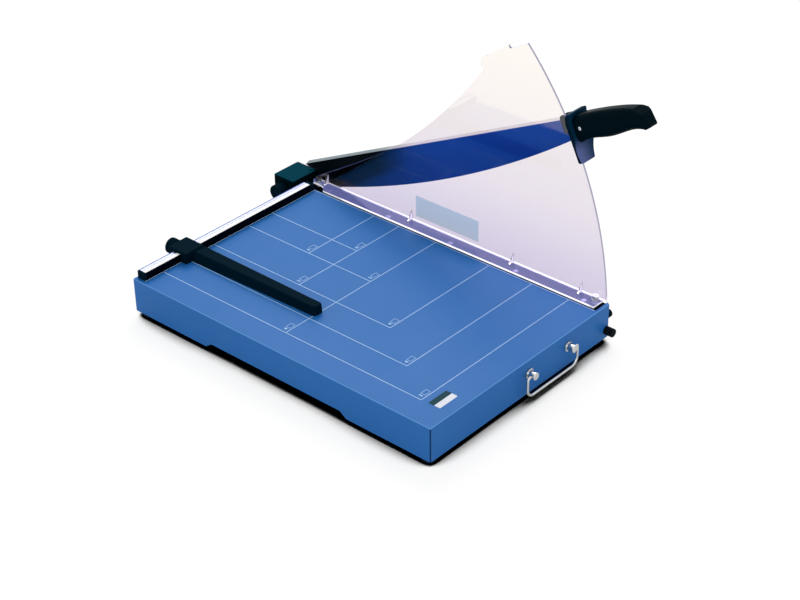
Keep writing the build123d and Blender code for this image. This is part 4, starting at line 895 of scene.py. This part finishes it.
# ---- operators: stage -------------------------------------------------------------------------
class CUTTER_OT_stage(bpy.types.Operator):
    """Set the pale floor, the soft lamps, the sky and the camera"""

    bl_idname = "cutter.stage"
    bl_label = "Stage"

    def execute(self, context):
        scene = context.scene
        stage = scene.cutter_stage
        scene.view_settings.view_transform = "Standard"
        self.floor(scene, stage)
        self.sky(scene, stage)
        self.lamps(scene, stage)
        self.camera(scene, stage)
        return {"FINISHED"}

    def floor(self, scene, stage):
        """A floor that looks white where nothing shades it."""
        mesh = bpy.data.meshes.new("floor")
        bm = bmesh.new()
        bmesh.ops.create_grid(bm, x_segments=1, y_segments=1, size=stage.floor_size)
        bm.to_mesh(mesh)
        bm.free()
        floor = bpy.data.objects.new("floor", mesh)
        scene.collection.objects.link(floor)
        material, tree, shader = new_material("pale_floor")
        near = tree.nodes.new("ShaderNodeAmbientOcclusion")
        near.samples = 32
        near.inputs["Distance"].default_value = stage.contact
        shade = rise(tree, near.outputs["AO"], stage.shade_dark, stage.shade_clear)
        rays = tree.nodes.new("ShaderNodeLightPath").outputs
        seen = operate(tree, "MAXIMUM", rays["Is Camera Ray"], rays["Is Transmission Ray"])
        lit = mix_colour(tree, shade, BLACK, stage.shown)
        base = mix_colour(tree, seen, stage.floor, lit)
        tree.links.new(base, shader.inputs["Base Color"])
        shader.inputs["Roughness"].default_value = 0.9
        shader.inputs["Specular IOR Level"].default_value = 0.0
        white = mix_colour(tree, shade, BLACK, WHITE)
        tree.links.new(white, shader.inputs["Emission Color"])
        lift = operate(tree, "MULTIPLY", seen, stage.lift)
        tree.links.new(lift, shader.inputs["Emission Strength"])
        mesh.materials.append(material)

    def sky(self, scene, stage):
        """Even light from all round, and full white for every ray but the diffuse ones."""
        world = bpy.data.worlds.new("sky")
        world.use_nodes = True
        scene.world = world
        tree = world.node_tree
        light = tree.nodes["Background"]
        light.inputs["Color"].default_value = (*WHITE, 1.0)
        light.inputs["Strength"].default_value = stage.sky
        shown = tree.nodes.new("ShaderNodeBackground")
        shown.inputs["Color"].default_value = (*WHITE, 1.0)
        rays = tree.nodes.new("ShaderNodeLightPath").outputs
        choose = tree.nodes.new("ShaderNodeMixShader")
        direct = operate(tree, "SUBTRACT", 1.0, rays["Is Diffuse Ray"])
        tree.links.new(direct, choose.inputs[0])
        tree.links.new(light.outputs["Background"], choose.inputs[1])
        tree.links.new(shown.outputs["Background"], choose.inputs[2])
        tree.links.new(choose.outputs["Shader"], tree.nodes["World Output"].inputs["Surface"])

    def lamps(self, scene, stage):
        """Two large soft lamps."""
        for name, watts, size, place in (
            ("key", stage.key, stage.key_size, Vector(stage.key_place)),
            ("side", stage.side, stage.side_size, Vector(stage.side_place)),
        ):
            lamp = bpy.data.lights.new(name, "AREA")
            lamp.energy = watts
            lamp.size = size
            holder = bpy.data.objects.new(name, lamp)
            holder.location = place
            holder.rotation_euler = (-place).to_track_quat("-Z", "Y").to_euler()
            scene.collection.objects.link(holder)

    def camera(self, scene, stage):
        """Camera from the front left, above the bed."""
        data = bpy.data.cameras.new("camera")
        data.lens = stage.lens
        data.sensor_width = 36.0
        camera = bpy.data.objects.new("camera", data)
        camera.location = stage.eye
        view = Vector(stage.target) - camera.location
        look = view.to_track_quat("-Z", "Y").to_matrix().to_4x4()
        turn = look @ Matrix.Rotation(stage.roll, 4, "Z")
        camera.rotation_euler = turn.to_euler()
        scene.collection.objects.link(camera)
        scene.camera = camera


class CUTTER_PT_panel(bpy.types.Panel):
    """Operators and settings of the paper cutter"""

    bl_label = "Paper Cutter"
    bl_idname = "CUTTER_PT_panel"
    bl_space_type = "VIEW_3D"
    bl_region_type = "UI"
    bl_category = "Cutter"

    def draw(self, context):
        layout = self.layout
        for step in STEPS:
            layout.operator(step.bl_idname)
        for group, settings in SETTINGS.items():
            layout.label(text=settings.__doc__)
            owner = getattr(context.scene, group)
            for name in settings.__annotations__:
                layout.prop(owner, name)


SETTINGS = {
    "cutter_paint": CutterPaint,
    "cutter_print": CutterPrint,
    "cutter_stage": CutterStage,
}
STEPS = (
    CUTTER_OT_groups,
    CUTTER_OT_painted_steel,
    CUTTER_OT_bright_metal,
    CUTTER_OT_mouldings,
    CUTTER_OT_clear_guard,
    CUTTER_OT_blade_finish,
    CUTTER_OT_name_plate,
    CUTTER_OT_format_lines,
    CUTTER_OT_page_signs,
    CUTTER_OT_scale_marks,
    CUTTER_OT_stage,
)


def register():
    """Registers the settings, the operators and the panel."""
    for settings in SETTINGS.values():
        bpy.utils.register_class(settings)
    for step in (*STEPS, CUTTER_PT_panel):
        bpy.utils.register_class(step)
    for group, settings in SETTINGS.items():
        setattr(bpy.types.Scene, group, PointerProperty(type=settings))


def unregister():
    """Takes back everything that register made."""
    for group in SETTINGS:
        delattr(bpy.types.Scene, group)
    for step in reversed((*STEPS, CUTTER_PT_panel)):
        bpy.utils.unregister_class(step)
    for settings in reversed(list(SETTINGS.values())):
        bpy.utils.unregister_class(settings)


def run_step(idname):
    """Calls one operator by its name."""
    module, name = idname.split(".")
    getattr(getattr(bpy.ops, module), name)()


def main():
    """Runs every operator."""
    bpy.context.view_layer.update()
    register()
    for step in STEPS:
        run_step(step.bl_idname)


if __name__ == "__main__":
    main()
